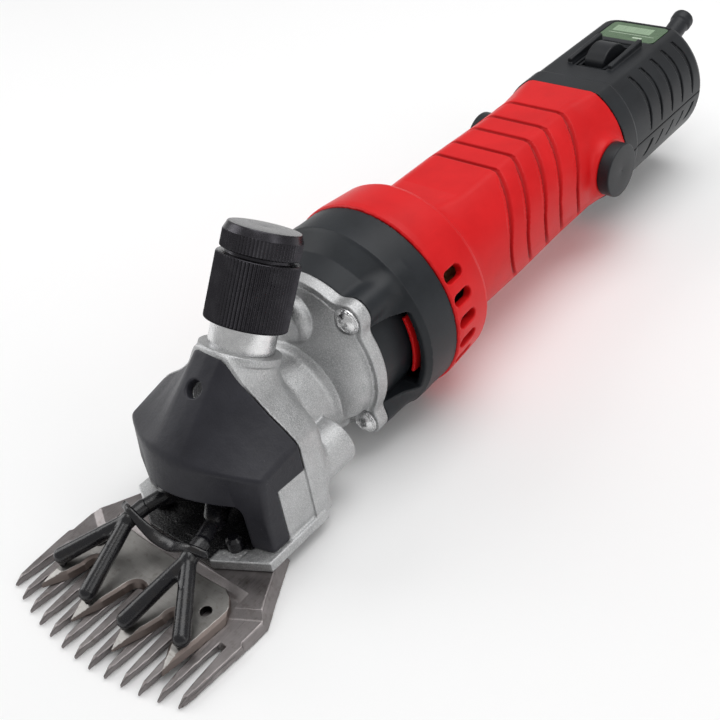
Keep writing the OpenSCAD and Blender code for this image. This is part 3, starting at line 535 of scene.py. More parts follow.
MATERIAL = {
    "cast_aluminium": cast_metal(),
    "laminations": sheet_stack(),
    "copper": wound_wire(),
    "label_film": printed_label(),
}
for make, name, *values in (
    (ground_steel, "comb_steel", (0.16, 0.146, 0.145), (0.27, 0.25, 0.248), 0.34, "Y"),
    # last colour: browner walls, painted darker as shade
    (ground_steel, "cutter_steel", (0.22, 0.21, 0.2), (0.38, 0.37, 0.355), 0.36, "X", (0.21, 0.175, 0.16)),
    (bright_metal, "bright_steel", (0.66, 0.66, 0.67), (0.82, 0.82, 0.82), 0.24),
    (bright_metal, "bearing_steel", (0.5, 0.5, 0.51), (0.66, 0.66, 0.67), 0.22),
    (bright_metal, "brass", (0.6, 0.42, 0.16), (0.75, 0.55, 0.25), 0.3),
    (dark_metal, "blackened_steel", (0.006, 0.006, 0.008), (0.014, 0.012, 0.011), 0.22, 0.0, 2.4),
    (dark_metal, "anodised_black", (0.04, 0.038, 0.044), (0.06, 0.058, 0.065), 0.24, 0.8, 2.4),
    (dark_metal, "carbon", (0.02, 0.02, 0.02), (0.05, 0.05, 0.05), 0.6, 0.1, 4.0),
    (moulded, "red_nylon", (0.60, 0.006, 0.008), (0.68, 0.010, 0.012), 0.38, 0.02, GROOVES, 0.2),
    (moulded, "black_nylon", (0.010, 0.012, 0.015), (0.018, 0.021, 0.025), 0.42),
    (moulded, "black_plastic", (0.010, 0.011, 0.013), (0.018, 0.02, 0.023), 0.38, 0.012),
    (rubber, "guard_rubber", (0.014, 0.014, 0.019), (0.026, 0.026, 0.033), 0.42),
    (rubber, "boot_rubber", (0.01, 0.011, 0.014), (0.019, 0.021, 0.024), 0.42),
):
    MATERIAL[name] = make(name, *values)


# ---------- comb, cutter and feet ----------

TEETH, PITCH = 13, 19 / 3
TIP_R, TIP_Y = 114.4, -30.8
TEETH_TOP, SHOULDER_TOP = -32.5, -31.0
CUTTER_LOW, CUTTER_TOP = -32.48, -29.9


def tip_line(x):
    """Where the comb's tooth tips lie, along Y, for a side offset x."""
    return TIP_Y - np.sqrt(TIP_R**2 - x * x)


def comb_field(x, y, z):
    side = abs(x)
    number = clip(np.round(x / PITCH), -(TEETH // 2), TEETH // 2)
    off = abs(x - number * PITCH)
    back = y - tip_line(number * PITCH)
    half = interp(back, [0, 0.6, 3.5, 9, 20, 30], [0.12, 0.42, 0.95, 1.45, 2.0, 2.3])
    undercut = clip(TEETH_TOP - z, 0, 3) * interp(back, [0, 4, 18, 24], [0.05, 0.22, 0.3, 0])
    root = -117.6 + 1.1 * np.cos(x * 2 * math.pi / PITCH)
    tooth = maximum((off - half + undercut) * 0.94, maximum(-back, y - root - 3))
    flare = (z - GROUND) * 0.42
    outer = outline(side, y, [(35.9, -110), (40.5, -110), (40.4, -113.4), (39.9, -120.6), (39.4, -127.7),
                              (39.0, -134.8), (38.4, -138.4), (37.5, -135), (36.4, -126), (35.85, -117)])
    outer = maximum(outer, (outer + flare) * 0.92 - clip(37.6 - side, 0, 2) * 2)
    plate = outline(side, y, [(-9, -83), (28.3, -83), (36.3, -98.1), (38.7, -102.2), (40.55, -105.8),
                              (40.4, -113.4), (39.9, -119), (-9, -119)])
    plate = (plate + flare) * 0.92
    plan = minimum(blend_min(tooth, maximum(plate, root - y), 0.7), outer)
    lift = interp(back, [0, 2.6, 3.4, 20], [-1.7, -0.5, -0.2, 0])
    top = z - TEETH_TOP - lift
    thin = maximum(maximum(plan, top), (plan + top) * 0.7 + 0.2)
    ahead = np.where(side < 29.5, -101.2 - y, (-106.6 - y) * 0.88 + (side - 31.1) * 0.48)
    slope_top = z - SHOULDER_TOP + clip(ahead, 0, 4) * np.where(side < 29.5, 0.44, 0.55)
    chamfer = (plate + z - SHOULDER_TOP) * 0.7 + 0.2
    raised = maximum(maximum(plate, slope_top * 0.85), maximum(ahead - 4, chamfer))
    body = maximum(blend_min(thin, raised, 0.2), GROUND + 0.03 - z)
    slot = minimum(
        hypot(side - STUD_X, y - STUD_Y) - 2.7, block(side, y, z, (13.9, -92.5, -50), (19.3, -70, 0), 0)
    )
    return maximum(body, -slot)


def cutter_field(x, y, z):
    """Four ground teeth: a steep lower wall, a broad bevel above it and a flat top."""
    side = abs(x)
    plan = outline(side, y, [(-9, -95), (31, -95), (31, -112.6), (30.3, -122.3), (28.5, -135), (27.5, -135),
                             (22.8, -128), (20.6, -121.2), (15.9, -121.2), (14, -128), (9.9, -137.9),
                             (9.0, -137.9), (4.9, -129), (3, -121.2), (-9, -121.2)])
    valley = minimum(hypot(side - 18.3, y + 120.8) - 2.9, hypot(x, y + 120.8) - 3.0)
    plan = blend_max(plan, -valley, 0.4)
    low_wall = (plan + (z - CUTTER_LOW) * 0.47) * 0.9
    bevel = (plan + 0.9 + (z + 30.6) * 1.2) * 0.64
    rear = outline(side, y, [(-9, -104.9), (14, -104.8), (23.5, -104.3), (26.2, -105.7), (28.9, -108.4),
                             (31, -112.6), (34, -112.6), (34, -142), (-9, -142)])
    low_wall = maximum(low_wall, round_max(rear, z - CUTTER_TOP, 0.3))
    tip = z - CUTTER_TOP + clip((-128.5 - y) * 0.2, 0, 2)
    body = maximum(maximum(low_wall, bevel), maximum(tip, CUTTER_LOW - z))
    return maximum(body, 1.8 - hypot(side - HOLE_X, y - HOLE_Y))


FOOT_APEX = (13.9, -107.2, -19.7)
PRONGS = ((27.5, -125.2, -26.9), (8.8, -130.0, -26.9))


def foot_field(x, y, z):
    """Two-pronged foot: flat-crested prongs that widen to round ends standing on the cutter."""
    x = abs(x)
    body = bar(x, y, z, (13.2, -101.2, -19.0), (13.8, -106.6, -19.5), 2.7)
    for end in PRONGS:
        prong = bar(x, y, z, FOOT_APEX, end, 2.3, 2.65)
        crest = bar(x, y, z, [a + (0, 0, 0.75)[i] for i, a in enumerate(FOOT_APEX)],
                    [a + (0, 0, 0.45)[i] for i, a in enumerate(end)], 1.75, 2.25)
        body = blend_min(body, blend_min(prong, crest, 0.4), 0.7)
        tip = bar(x, y, z, end, (end[0] - 0.5, end[1] - 1.2, end[2] - 2.4), 2.2, 1.0)
        body = blend_min(body, tip, 0.6)
    web = outline(x, y, [(13.9, -108), (19.5, -115.5), (15.0, -113.6), (12.0, -117)])
    body = blend_min(body, maximum(web, abs(z + 21.6) - 0.9), 1.0)
    return maximum(body, CUTTER_TOP - 0.1 - z)


def clip_field(x, y, z):
    """Strap sprung over both arms, twisted flat at the middle and curled at its ends."""
    side = clip(abs(x), 0, 18.6)
    cy = interp(side, [0, 9, 14.2, 18.6], [-106.4, -106.2, -105.7, -104.2])
    cz = sum(
        interp(side + s * 1.6, [0, 5, 11.5, 14.5, 18.6], [-21.2, -20.9, -17.4, -16.4, -18.4])
        for s in (-1, -0.5, 0, 0.5, 1)
    ) / 5
    t = side / 18.6
    tall = 2.0 - 0.6 * clip(t * 1.9 - 0.35, 0, 1)
    thick = 0.7 + 0.35 * clip(t * 1.9 - 0.5, 0, 1)
    lean = 1.1 - 0.5 * t
    dy, dz = y - cy, z - cz
    across, along = dy * np.cos(lean) - dz * np.sin(lean), dy * np.sin(lean) + dz * np.cos(lean)
    strap = (np.sqrt((across / thick) ** 2 + (along / tall) ** 2) - 1) * thick * 0.8
    return np.sqrt(maximum(strap, 0) ** 2 + maximum(abs(x) - 18.6, 0) ** 2) + minimum(strap, 0)


# ---------- head ----------

KNOB_LEAN = math.radians(32.4)
KNOB_Y, KNOB_Z = -55.4, 26.7
REAR_EDGE = ((0, 5.8, 8.7, 11.9, 16, 19.7, 25.3, 29.6), (27.4, 26.9, 22.1, 17.5, 13.8, 10.6, 6.9, 3.4))
FLANGE_FRONT, SCREW = -33.2, 20.2


def knob_frame(y, z):
    """Distance behind the knob's axis and height along it."""
    s, c = math.sin(KNOB_LEAN), math.cos(KNOB_LEAN)
    return (y - KNOB_Y) * c - (z - KNOB_Z) * s, (y - KNOB_Y) * s + (z - KNOB_Z) * c


def knob_drum(x, y, z, r, low, high, edge=0.4):
    v, d = knob_frame(y, z)
    return round_max(hypot(x, v) - r, abs(d - (low + high) / 2) - (high - low) / 2, edge)


def soft_interp(u, knots, soft=1.2):
    """Piecewise line through knots, with its corners eased."""
    return sum(interp(u + s * soft, *knots) for s in (-1, -0.5, 0, 0.5, 1)) / 5


def crown(x):
    return soft_interp(abs(x), REAR_EDGE)


def ridge(x):
    return -96 + 0.0126 * x * x, 5.1 - 0.0051 * x * x


def guard_outside(x, y, z, set_back=0.0):
    side = abs(x)
    ry, rz = ridge(side)
    top_z = crown(side)
    t = clip((y - ry) / (-70 - ry), -0.5, 1.2)
    roof = (z - (rz + (top_z - rz) * t)) * 0.72
    low_y = np.where(side < 19.6, -100.2 + 0.0254 * side**2, -90.44 + 0.27 * (side - 19.6))
    low_z = -5.9 - 0.0124 * side**2
    s = (rz - z) / maximum(rz - low_z, 4)
    face = (ry + (low_y - ry) * clip(s, -1, 1) - y) * 0.9
    wall = side - interp(y, [-90, -85.6, -70], [28.6, 28.75, 29.5])
    shape = blend_max(roof + set_back, face + set_back, 1.0)
    return blend_max(shape, wall + set_back, 1.2)


def mouth(x, z):
    return blend_max(abs(x) - 21, z + 5.6 + 0.0124 * x * x, 3.0)


def oil_hole(x, y, z):
    oy, oz = y + 80.3, z - 19.7
    c, s = math.cos(math.radians(42)), math.sin(math.radians(42))
    return maximum(hypot(x, oy * c + oz * s) - 2.75, oy * s - oz * c - 12)


def guard_field(x, y, z):
    side = abs(x)
    body = guard_outside(x, y, z)
    body = blend_max(body, -guard_outside(x, y, z, 3.1), 0.3)
    body = blend_max(body, y + 70.2 + clip(z - 20, 0, 20) * 0.16, 0.5)
    body = blend_max(body, -mouth(x, z), 0.8)
    body = blend_max(body, minimum(-7.0 - z, y + 81.2), 0.8)
    body = blend_max(body, -27.15 - z, 0.6)
    return blend_max(body, -oil_hole(x, y, z), 0.7)


def flange_outline(x, z):
    ear = hypot(abs(x) - SCREW, abs(z) - SCREW) - 5.4
    return blend_min(hypot(x, z) - 28.5, ear, 3.5)


def bell(x, y, z):
    side = abs(x)
    back = maximum(y + 70, 0)
    roof = (z - 0.3 - (crown(side + 0.24 * back) - 0.34 * back)) * 0.72
    taper = interp(z, [-10, -1], [0.05, 0.24])
    wall = side - (29.75 - taper * back)
    rear = y - (-53.9 - 0.0048 * side**2 - 0.15 * maximum(-1 - z, 0))
    v, d = knob_frame(y, z)
    body = blend_max(blend_max(roof, wall, 2.0), rear, 5.0)
    body = maximum(body, -70.0 - y)
    body = blend_max(body, d + 9.0, 1.5)
    return maximum(body, -31 - z)


def casting_field(x, y, z):
    side = abs(x)
    ring = flange_outline(x, z)
    body = round_max(ring, abs(y + 30.85) - 2.35, 0.5)
    step = round_max(ring + 1.9, abs(y + 32.6) - 1.05, 0.3)
    body = minimum(body, step)
    t = clip((-34.1 - y) / 6.6, 0, 1)
    dome = (hypot(x, z + 9.4 * t) - (25.6 - 7.2 * t - 1.2 * t * (1 - t) * -3)) * 0.72
    dome = blend_max(dome, abs(y + 37.4) - 4.2, 2.2)
    body = blend_min(body, dome, 1.6)
    neck = drum(x, y, z, 16.6, -62, -36, 0.5, 0, -10.5)
    body = blend_min(body, neck, 2.6)
    head = bell(x, y, z)
    column = knob_drum(x, y, z, 12.2, -34, -8.2)
    head = blend_min(head, column, 4.5)
    body = blend_min(body, head, 3.2)
    lug = drum(side, y, z, 8.3, -64, -48, 0.6, 20.5, -16.5)
    body = blend_min(body, lug, 1.6)
    boss = drum(x, y, z, 8.5, -41, -33, 3.4, 0, 15.8)
    body = blend_min(body, boss, 0.7)
    collar = knob_drum(x, y, z, 12.8, -10, -7.5, 0.35)
    body = blend_min(body, collar, 0.8)
    nose = guard_outside(x, y, z, 3.3)
    nose = maximum(nose, y + 69)
    nose = maximum(nose, maximum(-28 - z, -oil_hole(x, y, z)))
    body = minimum(body, nose)
    cheek = block(side, y, z, (21, -81, -30), (28.7, -62, -7), 0.6)
    body = blend_min(body, cheek, 1.0)
    plate = outline(side, y, [(-1, -100.6), (14, -100.6), (30.3, -91.6), (30.3, -66), (25, -60), (-1, -60)])
    foot = round_max(plate, abs(z + 29.1) - 1.9, 0.5)
    body = blend_min(body, foot, 0.9)
    stud = maximum(hypot(side - STUD_X, y - STUD_Y) - 4.2, abs(z + 26) - 2.2)
    body = minimum(body, stud)
    hollow = block(x, y, z, (-19, -93, -27.2), (19, -66.5, -5), 1.5)
    open_mouth = maximum(maximum(abs(x) - 21, z + 6 + 0.0124 * x * x), maximum(y + 84, -27.2 - z))
    cut = minimum(hollow, open_mouth)
    cut = minimum(cut, block(x, y, z, (-11.5, -67, -20.5), (11.5, -51.5, -3.5), 0.5))
    bores = ((7.4, -56, -40, -12), (9.5, -49, -30, -12), (11.6, -39, -20, -12), (4.2, -39, -20, 0))
    for r, start, end, cz in bores:
        cut = minimum(cut, drum(x, y, z, r, start, end, 0.2, 0, cz))
    cut = minimum(cut, knob_drum(x, y, z, 7, -16, 24, 0.1))
    cut = minimum(cut, knob_drum(x, y, z, 4, -46, 0, 0.1))
    cut = minimum(cut, hypot(side - STUD_X, y - STUD_Y) - 2.5)
    cut = minimum(cut, maximum(hypot(side - SCREW, abs(z) - SCREW) - 4.7, y + 33.22))
    return blend_max(body, -cut, 0.3)


# ---------- housings ----------


def pillars(x, y, z, r, y0, y1):
    return drum(abs(x), y, abs(z), r, y0, y1, 0.3, SCREW, SCREW)


def fan_housing_field(x, y, z):
    shell = turned(x, y, z, [(-1, -28.5), (28, -28.5), (30.4, -21), (34.0, -14.6), (34.8, -13.4),
                             (34.8, -0.2), (31.6, 0), (31.6, 2.9), (-1, 3)])
    body = blend_min(shell, pillars(x, y, z, 5.4, -28.5, -8), 2.6)
    body = blend_max(body, -28.5 - y, 0.3)
    chamber = turned(x, y, z, [(-1, -13), (29.4, -13), (30, -11), (30, 4), (-1, 4)])
    side = abs(x)
    r_here = hypot(x, z)
    recess = blend_max(block(side, y, z, (18, -40, -15.4), (40, -15.4, 15.4), 1.0), 26.6 - r_here, 0.4)
    recess = blend_max(recess, -pillars(x, y, z, 5.4, -40, 0), 1.2)
    window = block(side, y, z, (18, -40, -15), (40, -11, 15), 0.6)
    window = maximum(abs(r_here - 28.9) - 2.3, window)
    cut = minimum(minimum(chamber, recess), window)
    for r, start, end, cz in ((9.5, -20.5, -12, 0), (6.6, -30, -12, 0), (6.5, -30, -23.8, -12)):
        cut = minimum(cut, drum(x, y, z, r, start, end, 0.1, 0, cz))
    cut = minimum(cut, hypot(side - SCREW, abs(z) - SCREW) - 2.0 + maximum(y + 16.4, 0))
    return blend_max(body, -cut, 0.5)


GRIP_FLAT, GRIP_END = 23.8, 121.5


def grip_outside(x, y, z):
    r = hypot(x, z)
    ring = outline(r, y, [(-1, 0), (35.0, 0), (35.4, 0.5), (35.4, 3), (34.3, 17.2), (33.6, 18.7),
                          (32.3, 19.8), (30.6, 20.4), (-1, 20.4)])
    tube = r - soft_interp(y, ([20, 27, 55, 85, 108, 121.5], [27.4, 27.0, 27.0, 26.2, 26.2, 27.7]))
    deck = z - GRIP_FLAT - clip((36 - y) * 0.10, 0, 2)
    stem = blend_max(tube, deck, 0.9)
    stem = maximum(stem, maximum(y - GRIP_END, 10 - y))
    return blend_min(ring, stem, 6.0)


def motor_housing_field(x, y, z):
    body = grip_outside(x, y, z)
    # a groove leans to the head down the flank, then turns back low on the side
    run = y + 13 - 0.25 * clip(z - 2, 0, 20.9) ** 1.3 - 0.035 * clip(-z, 0, 20) ** 2
    lean = interp(z, [2, 12, 21, 23], [0.98, 0.82, 0.78, 1.0])
    off = np.full(np.shape(x), 99.0, np.float32)
    for place in GROOVES:
        gap = (run - place) * lean
        off = np.where(abs(gap) < abs(off), gap, off)
    depth = 1.3 * clip((1.05 - abs(off)) / 0.45, 0, 1)
    scoop = 0.45 * clip(1 - abs(off + 1.5) / 0.9, 0, 1) * interp(z, [6, 14, 20, 22.5], [0, 1, 1, 0])
    low_end = clip((z + 16) / 3, 0, 1)
    body = body + maximum(depth, scoop) * low_end * 0.9
    side = abs(x)
    away = hypot(y - BRUSH_Y, z)
    boss = blend_max((away - interp(side, [20, 27.3], [13.6, 11.0])) * 0.85, side - 27.3, 0.8)
    boss = maximum(boss, 15 - side)
    body = blend_min(body, boss, 2.2)
    body = maximum(body, y - GRIP_END)
    angle = np.degrees(np.arctan2(z, side))
    r = hypot(x, z)
    room = turned(x, y, z, [(-1, -1), (31.6, -1), (31.6, 16.5), (21.4, 22), (21.4, 117.5), (-1, 117.5)])
    body = blend_max(body, -room, 0.4)
    arc = np.radians(abs(angle - 2) - 22) * 28.7
    baffle = round_max(maximum(abs(r - 28.75) - 0.55, abs(y + 7.3) - 8.3), arc, 0.3)
    tie = maximum(maximum(abs(r - 30.4) - 2, abs(y - 0.4) - 0.6), arc)
    body = minimum(body, minimum(baffle, tie))
    for i in range(5):
        across = np.radians(angle - (28.5 - 13.8 * i)) * 33.5
        vent = hypot(across, maximum(abs(y - 5.8) - 2.4, 0)) - 2.1
        body = blend_max(body, -maximum(vent, 26 - r), 0.5)
    body = maximum(body, -maximum(hypot(y - BRUSH_Y, z) - 5.5, 10 - side))
    return maximum(body, -(r - 8 + maximum(117 - y, 0)))


REAR_R, REAR_FLAT, SEAM = 27.8, 23.0, -1.0
GROOVE_Y = [142 + 8.7 * i for i in range(5)]


def rear_outside(x, y, z, inset=0.0):
    r = hypot(x, z)
    round_part = outline(r, y, [(-1, GRIP_END), (28.1, GRIP_END), (28.2, 129.8), (27.8, 130.9), (27.8, 183.6),
                                (27.3, 185.2), (26.3, 186.4), (24.8, 187), (-1, 187)])
    deck = z - REAR_FLAT - clip((131.5 - y) * 0.4, 0, 0.55)
    return blend_max(round_part, deck, 0.7) + inset


def rear_field(x, y, z):
    body = rear_outside(x, y, z)
    side = abs(x)
    angle = np.degrees(np.arctan2(z, side))
    r = hypot(x, z)
    for i, place in enumerate(GROOVE_Y):
        bow = 1.5 * np.sin(clip((51 - angle) / 49, 0, 1) * math.pi)
        offset = y - place - bow
        width = interp(angle, [2, 12, 40, 51], [0.35, 0.75, 1.3, 0.9])
        inside = maximum(abs(offset) - width, maximum(angle - 51, 2.4 - angle) * 0.45)
        floor = 1.25 - 0.45 * clip(offset, -1, 1)
        body = blend_max(body, -maximum(inside, -(r - REAR_R + floor)), 0.35)
        low = -21.0 if i in (0, 4) else -19.0
        sweep = 4.0 * clip((-8 - angle) / 13, 0, 1) ** 1.3
        slit = abs(y - place - 1.5 + sweep) - (1.15 if i in (0, 4) else 0.6)
        slit = maximum(slit, maximum(low - angle, angle + 7.5) * 0.45)
        deep = 4.0 if i in (0, 4) else 1.0
        body = blend_max(body, -maximum(slit, -(r - REAR_R + deep)), 0.25)
    for s in (-1, 1):
        rib = block(x, y, z, (s * 9 - 1.0, 142, 18), (s * 9 + 1.0, 166.5, 30), 0.35)
        rib = blend_max(rib, z - 24.9 - (y - 143) * 0.036, 0.5)
        body = blend_min(body, rib, 0.5)
    well = block(x, y, z, (-5.4, 143.8, 12), (5.4, 165.8, 40), 0.6)
    dish = block(x, y, z, (-7.6, 141.4, 22.0), (7.6, 166.4, 40), 0.5)
    body = blend_max(body, -minimum(well, dish), 0.4)
    panel = block(x, y, z, (-13, 169.4, 22.35), (13, 185.4, 40), 0.5)
    body = blend_max(body, -panel, 0.25)
    hollow = maximum(rear_outside(x, y, z, 2.5), 123.9 - y)
    hollow = maximum(hollow, y - 184.5)
    body = maximum(body, -hollow)
    body = maximum(body, -(r - 10.7 + maximum(y - 127, 0)))
    c, s = math.cos(BOOT_LEAN), math.sin(BOOT_LEAN)
    by, bz = y - BOOT_Y, z - BOOT_Z
    around = hypot(x, bz * c - by * s)
    collar = maximum(around - 7.6, abs(by * c + bz * s) - 2.0)
    body = blend_min(body, collar, 1.2)
    return maximum(body, -maximum(around - 4.6, 180 - y))


def upper_field(x, y, z):
    return blend_max(rear_field(x, y, z), SEAM + 0.12 - z, 0.35)


def lower_field(x, y, z):
    return blend_max(rear_field(x, y, z), z - SEAM + 0.12, 0.35)


def rocker_field(x, y, z):
    """Domed rocker with a rim along each side, resting with its rear end up."""
    a = math.radians(-7)
    y, z = y - ROCKER_Y, z - ROCKER_Z
    v = y * math.cos(a) + z * math.sin(a)
    w = -y * math.sin(a) + z * math.cos(a)
    dome = hypot(v, w + 1.2) - 10.7
    foot = outline(v, w, [(-9.1, 12), (-9.1, 0), (-4, -4), (4, -4), (9.1, 0), (9.1, 12)])
    side = blend_max(dome, foot, 0.5)
    body = round_max(side, abs(x) - 4.3, 0.5)
    body = blend_max(body, -maximum(maximum(abs(x) - 3.3, 0.35 - side), 3 - w), 0.2)
    return minimum(body, maximum(hypot(v, w) - 1.2, abs(x) - 6.2))


# ---------- turned and knurled pieces ----------


def lathe(rows, around, place, knurl=0):
    """Points and quads of a turned body, from rows of (height, radius, knurl depth).

    place maps (a, b, height) to the model.
    """
    angles = np.arange(around) * 2 * math.pi / around
    wave = 0.5 - 0.5 * np.cos(angles * knurl) if knurl else np.zeros(around)
    points, faces = [], []
    here = np.arange(around)
    beside = (here + 1) % around
    for i, (height, radius, depth) in enumerate(rows):
        r = radius - depth * wave**0.7
        along = np.full(around, float(height))
        points.append(np.stack(place(r * np.cos(angles), r * np.sin(angles), along), 1))
        a, b = i * around, (i + 1) % len(rows) * around
        faces.append(np.stack([a + here, a + beside, b + beside, b + here], 1))
    return np.concatenate(points), np.concatenate(faces)


def on_knob(a, b, d):
    """Model coordinates of a point beside (a, b) and along (d) the knob's axis."""
    s, c = math.sin(KNOB_LEAN), math.cos(KNOB_LEAN)
    return a, KNOB_Y + b * c + d * s, KNOB_Z - b * s + d * c


def sharp(piece, angle=28):
    """Keeps edges steeper than the angle crisp on a smooth-shaded piece."""
    mesh = piece.data
    bm = bmesh.new()
    bm.from_mesh(mesh)
    bmesh.ops.recalc_face_normals(bm, faces=bm.faces)
    for edge in bm.edges:
        edge.smooth = len(edge.link_faces) == 2 and edge.calc_face_angle() < math.radians(angle)
    bm.to_mesh(mesh)
    bm.free()
    return piece


def rounded_rows(corners, size=0.35, steps=4):
    """Rows of a turned profile with its corners rounded. Corners are (height, radius, knurl depth)."""
    rows = []
    for i, (h, r, k) in enumerate(corners):
        h0, r0, _ = corners[i - 1]
        h1, r1, _ = corners[(i + 1) % len(corners)]
        before, after = math.hypot(h - h0, r - r0), math.hypot(h - h1, r - r1)
        cut = min(size, before * 0.45, after * 0.45)
        a = (h + (h0 - h) * cut / before, r + (r0 - r) * cut / before)
        b = (h + (h1 - h) * cut / after, r + (r1 - r) * cut / after)
        for s in range(steps + 1):
            t = s / steps
            row = [(1 - t) ** 2 * p + 2 * t * (1 - t) * c + t * t * q for p, c, q in zip(a, (h, r), b)]
            rows.append(row + [k])
    return rows


def join(name, parts):
    """One object from several (points, faces) sets."""
    points, faces, start = [], [], 0
    for p, f in parts:
        points.append(p)
        faces.append(f + start)
        start += len(p)
    return to_object(name, np.concatenate(points), np.concatenate(faces))


# ---------- the pieces ----------

COARSE = 1.0

for name, field, body, material, low, high, step in (
    ("comb", comb_field, "housing", "comb_steel", (-40.8, -145.4, -35.5), (40.8, -82.6, -30.8), 0.34),
    ("cutter", cutter_field, "fork", "cutter_steel", (-31.2, -138.2, -32.6), (31.2, -104, -29.6), 0.3),
    ("rubber_guard", guard_field, "housing", "guard_rubber", (-30, -101, -28), (30, -69.5, 28), 0.5),
    ("head_casting", casting_field, "housing", "cast_aluminium", (-31, -101, -31.5), (31, -28, 31), 0.42),
    ("fan_housing", fan_housing_field, "housing", "black_nylon", (-35, -29, -35), (35, 3.5, 35), 0.55),
    ("motor_housing", motor_housing_field, "housing", "red_nylon", (-36, -17.5, -36), (36, 122, 36), 0.46),
    ("rear_housing_upper", upper_field, "housing", "black_plastic", (-29, 121, -2), (29, 187.5, 27), 0.45),
    ("rear_housing_lower", lower_field, "housing", "black_plastic", (-29, 121, -29), (29, 187.5, 0), 0.5),
):
    fit(carve(name, field, low, high, step * COARSE), body, [name], material)

both_feet = skin(foot_field, (4, -136, -31), (33, -97, -14), 0.42 * COARSE)
for name, sign in (("foot_right", 1), ("foot_left", -1)):
    points, faces, normals = (part.copy() for part in both_feet)
    if sign < 0:
        points[:, 0] *= -1
        normals[:, 0] *= -1
        faces = faces[:, ::-1]
    foot = to_object(name, points, np.ascontiguousarray(faces), normals)
    fit(foot, "fork", [name], "blackened_steel")

strap = carve("retaining_clip", clip_field, (-20, -110, -26), (20, -101, -13), 0.3 * COARSE)
fit(strap, "fork", ["retaining_clip"], "blackened_steel")
rocker = carve("switch_rocker", rocker_field, (-6.5, 143, 12), (6.5, 165, 29), 0.3 * COARSE)
fit(rocker, "rocker", ["switch_rocker"], "black_plastic")

KNURLS, NUT_R, NUT_H, CAP_R = 70, 12.9, 20.3, 12.2
nut = rounded_rows(
    [
        (0.0, NUT_R - 0.1, 0), (0.45, NUT_R, 0.45), (NUT_H - 0.55, NUT_R, 0.45), (NUT_H, NUT_R - 0.35, 0),
        (NUT_H, 10.4, 0), (21.4, 10.4, 0), (21.4, 5.0, 0), (27.0, 5.0, 0), (27.0, 3.0, 0), (15.6, 3.0, 0),
        (15.6, 7.1, 0), (5.0, 7.1, 0), (5.0, 10.6, 0), (0.0, 10.6, 0),
    ],
    0.25,
)
nut = to_object("tension_nut", *lathe(nut, KNURLS * 8, on_knob, KNURLS))
fit(sharp(nut, 50), "tension_nut", ["tension_nut"], "anodised_black")
cap = rounded_rows(
    [
        (21.5, CAP_R - 0.4, 0), (21.8, CAP_R, 0.32), (26.7, CAP_R, 0.32), (27.0, CAP_R - 0.15, 0),
        (29.3, CAP_R - 1.1, 0), (29.3, 0.01, 0), (28.0, 0.01, 0), (28.0, 5.1, 0), (21.5, 5.1, 0),
    ],
    0.3,
)
cap = to_object("lock_cap", *lathe(cap, KNURLS * 8, on_knob, KNURLS))
fit(sharp(cap, 50), "lock_cap", ["lock_cap"], "anodised_black")
sleeve = rounded_rows(
    [(-16, 7, 0), (-7.5, 7, 0), (-7.5, 10.3, 0), (0.5, 10.3, 0), (0.5, 7, 0), (15, 7, 0), (15, 3.1, 0),
     (-16, 3.1, 0)],
    0.3,
)
sleeve = to_object("tension_sleeve", *lathe(sleeve, 96, on_knob))
fit(sharp(sleeve), "housing", ["tension_sleeve"], "bright_steel")


def upright(a, b, height):
    return a, b, height


def screw_field(x, y, z):
    """Pan head with a cross recess, about its own axis, height along z."""
    r = hypot(x, y)
    dome = np.sqrt(r * r + (z + 1.6) ** 2) - 4.75
    head = blend_max(blend_max(r - 3.7, dome, 0.4), 0.8 - z, 0.2)
    ridged = r - 4.1 + 0.12 * np.cos(np.arctan2(y, x) * 16)
    head = blend_min(head, round_max(ridged, abs(z - 1.0) - 0.22, 0.1), 0.15)
    arm = 0.48 + 0.12 * (z - 1.6)
    long = 2.4 - maximum(3.15 - z, 0) * 0.5
    u, v = abs(x), abs(y)
    cross = minimum(maximum(u - arm, v - long), maximum(v - arm, u - long))
    cross = maximum(minimum(cross, r - 0.9), 1.2 - z)
    shank = maximum(r - 2.0, maximum(z - 1, -16 - z))
    return minimum(blend_max(head, -cross, 0.1), shank)


screw = skin(screw_field, (-4.4, -4.4, -0.1), (4.4, 4.4, 3.4), 0.16 * COARSE)
shank = rounded_rows([(-16, 2.0, 0), (0.9, 2.0, 0), (0.9, 0.2, 0), (-16, 0.2, 0)])
shank = lathe(shank, 24, upright)


def at_flange(points, x, z, spin):
    """Turns a piece about its own axis and stands it on the flange, pointing forward."""
    c, s = math.cos(spin), math.sin(spin)
    a, b, h = points[:, 0] * c - points[:, 1] * s, points[:, 0] * s + points[:, 1] * c, points[:, 2]
    return np.stack([a + x, FLANGE_FRONT - h, b + z], 1)


corners = ((1, 1), (1, -1), (-1, 1), (-1, -1))
corners = [(SCREW * i, SCREW * k, 0.5 + 1.3 * n) for n, (i, k) in enumerate(corners)]
screws = [(at_flange(p, x, z, spin), f) for x, z, spin in corners for p, f in (screw[:2], shank)]
fit(join("flange_screws", screws), "housing", ["flange_screws"], "bright_steel")
washer = rounded_rows([(0, 4.5, 0), (0.8, 4.5, 0), (0.8, 2.05, 0), (0, 2.05, 0)], 0.15)
washer = lathe(washer, 64, upright)
washers = [(at_flange(washer[0], x, z, 0), washer[1]) for x, z, _ in corners]
fit(sharp(join("flange_washers", washers)), "housing", ["flange_washers"], "bright_steel")


def at_brush(sign):
    return lambda a, b, h: (sign * h, BRUSH_Y + a, b)


brush_cap = rounded_rows(
    [(24, 2.4, 0), (26, 2.4, 0), (26, 5.4, 0), (27.4, 5.4, 0), (27.4, 10.3, 0), (32.35, 10.3, 0),
     (32.35, 0.01, 0), (24, 0.01, 0)],
    0.55,
)
caps = join("brush_caps", [lathe(brush_cap, 96, at_brush(s)) for s in (-1, 1)])
fit(sharp(caps, 40), "housing", ["brush_caps"], "black_plastic")


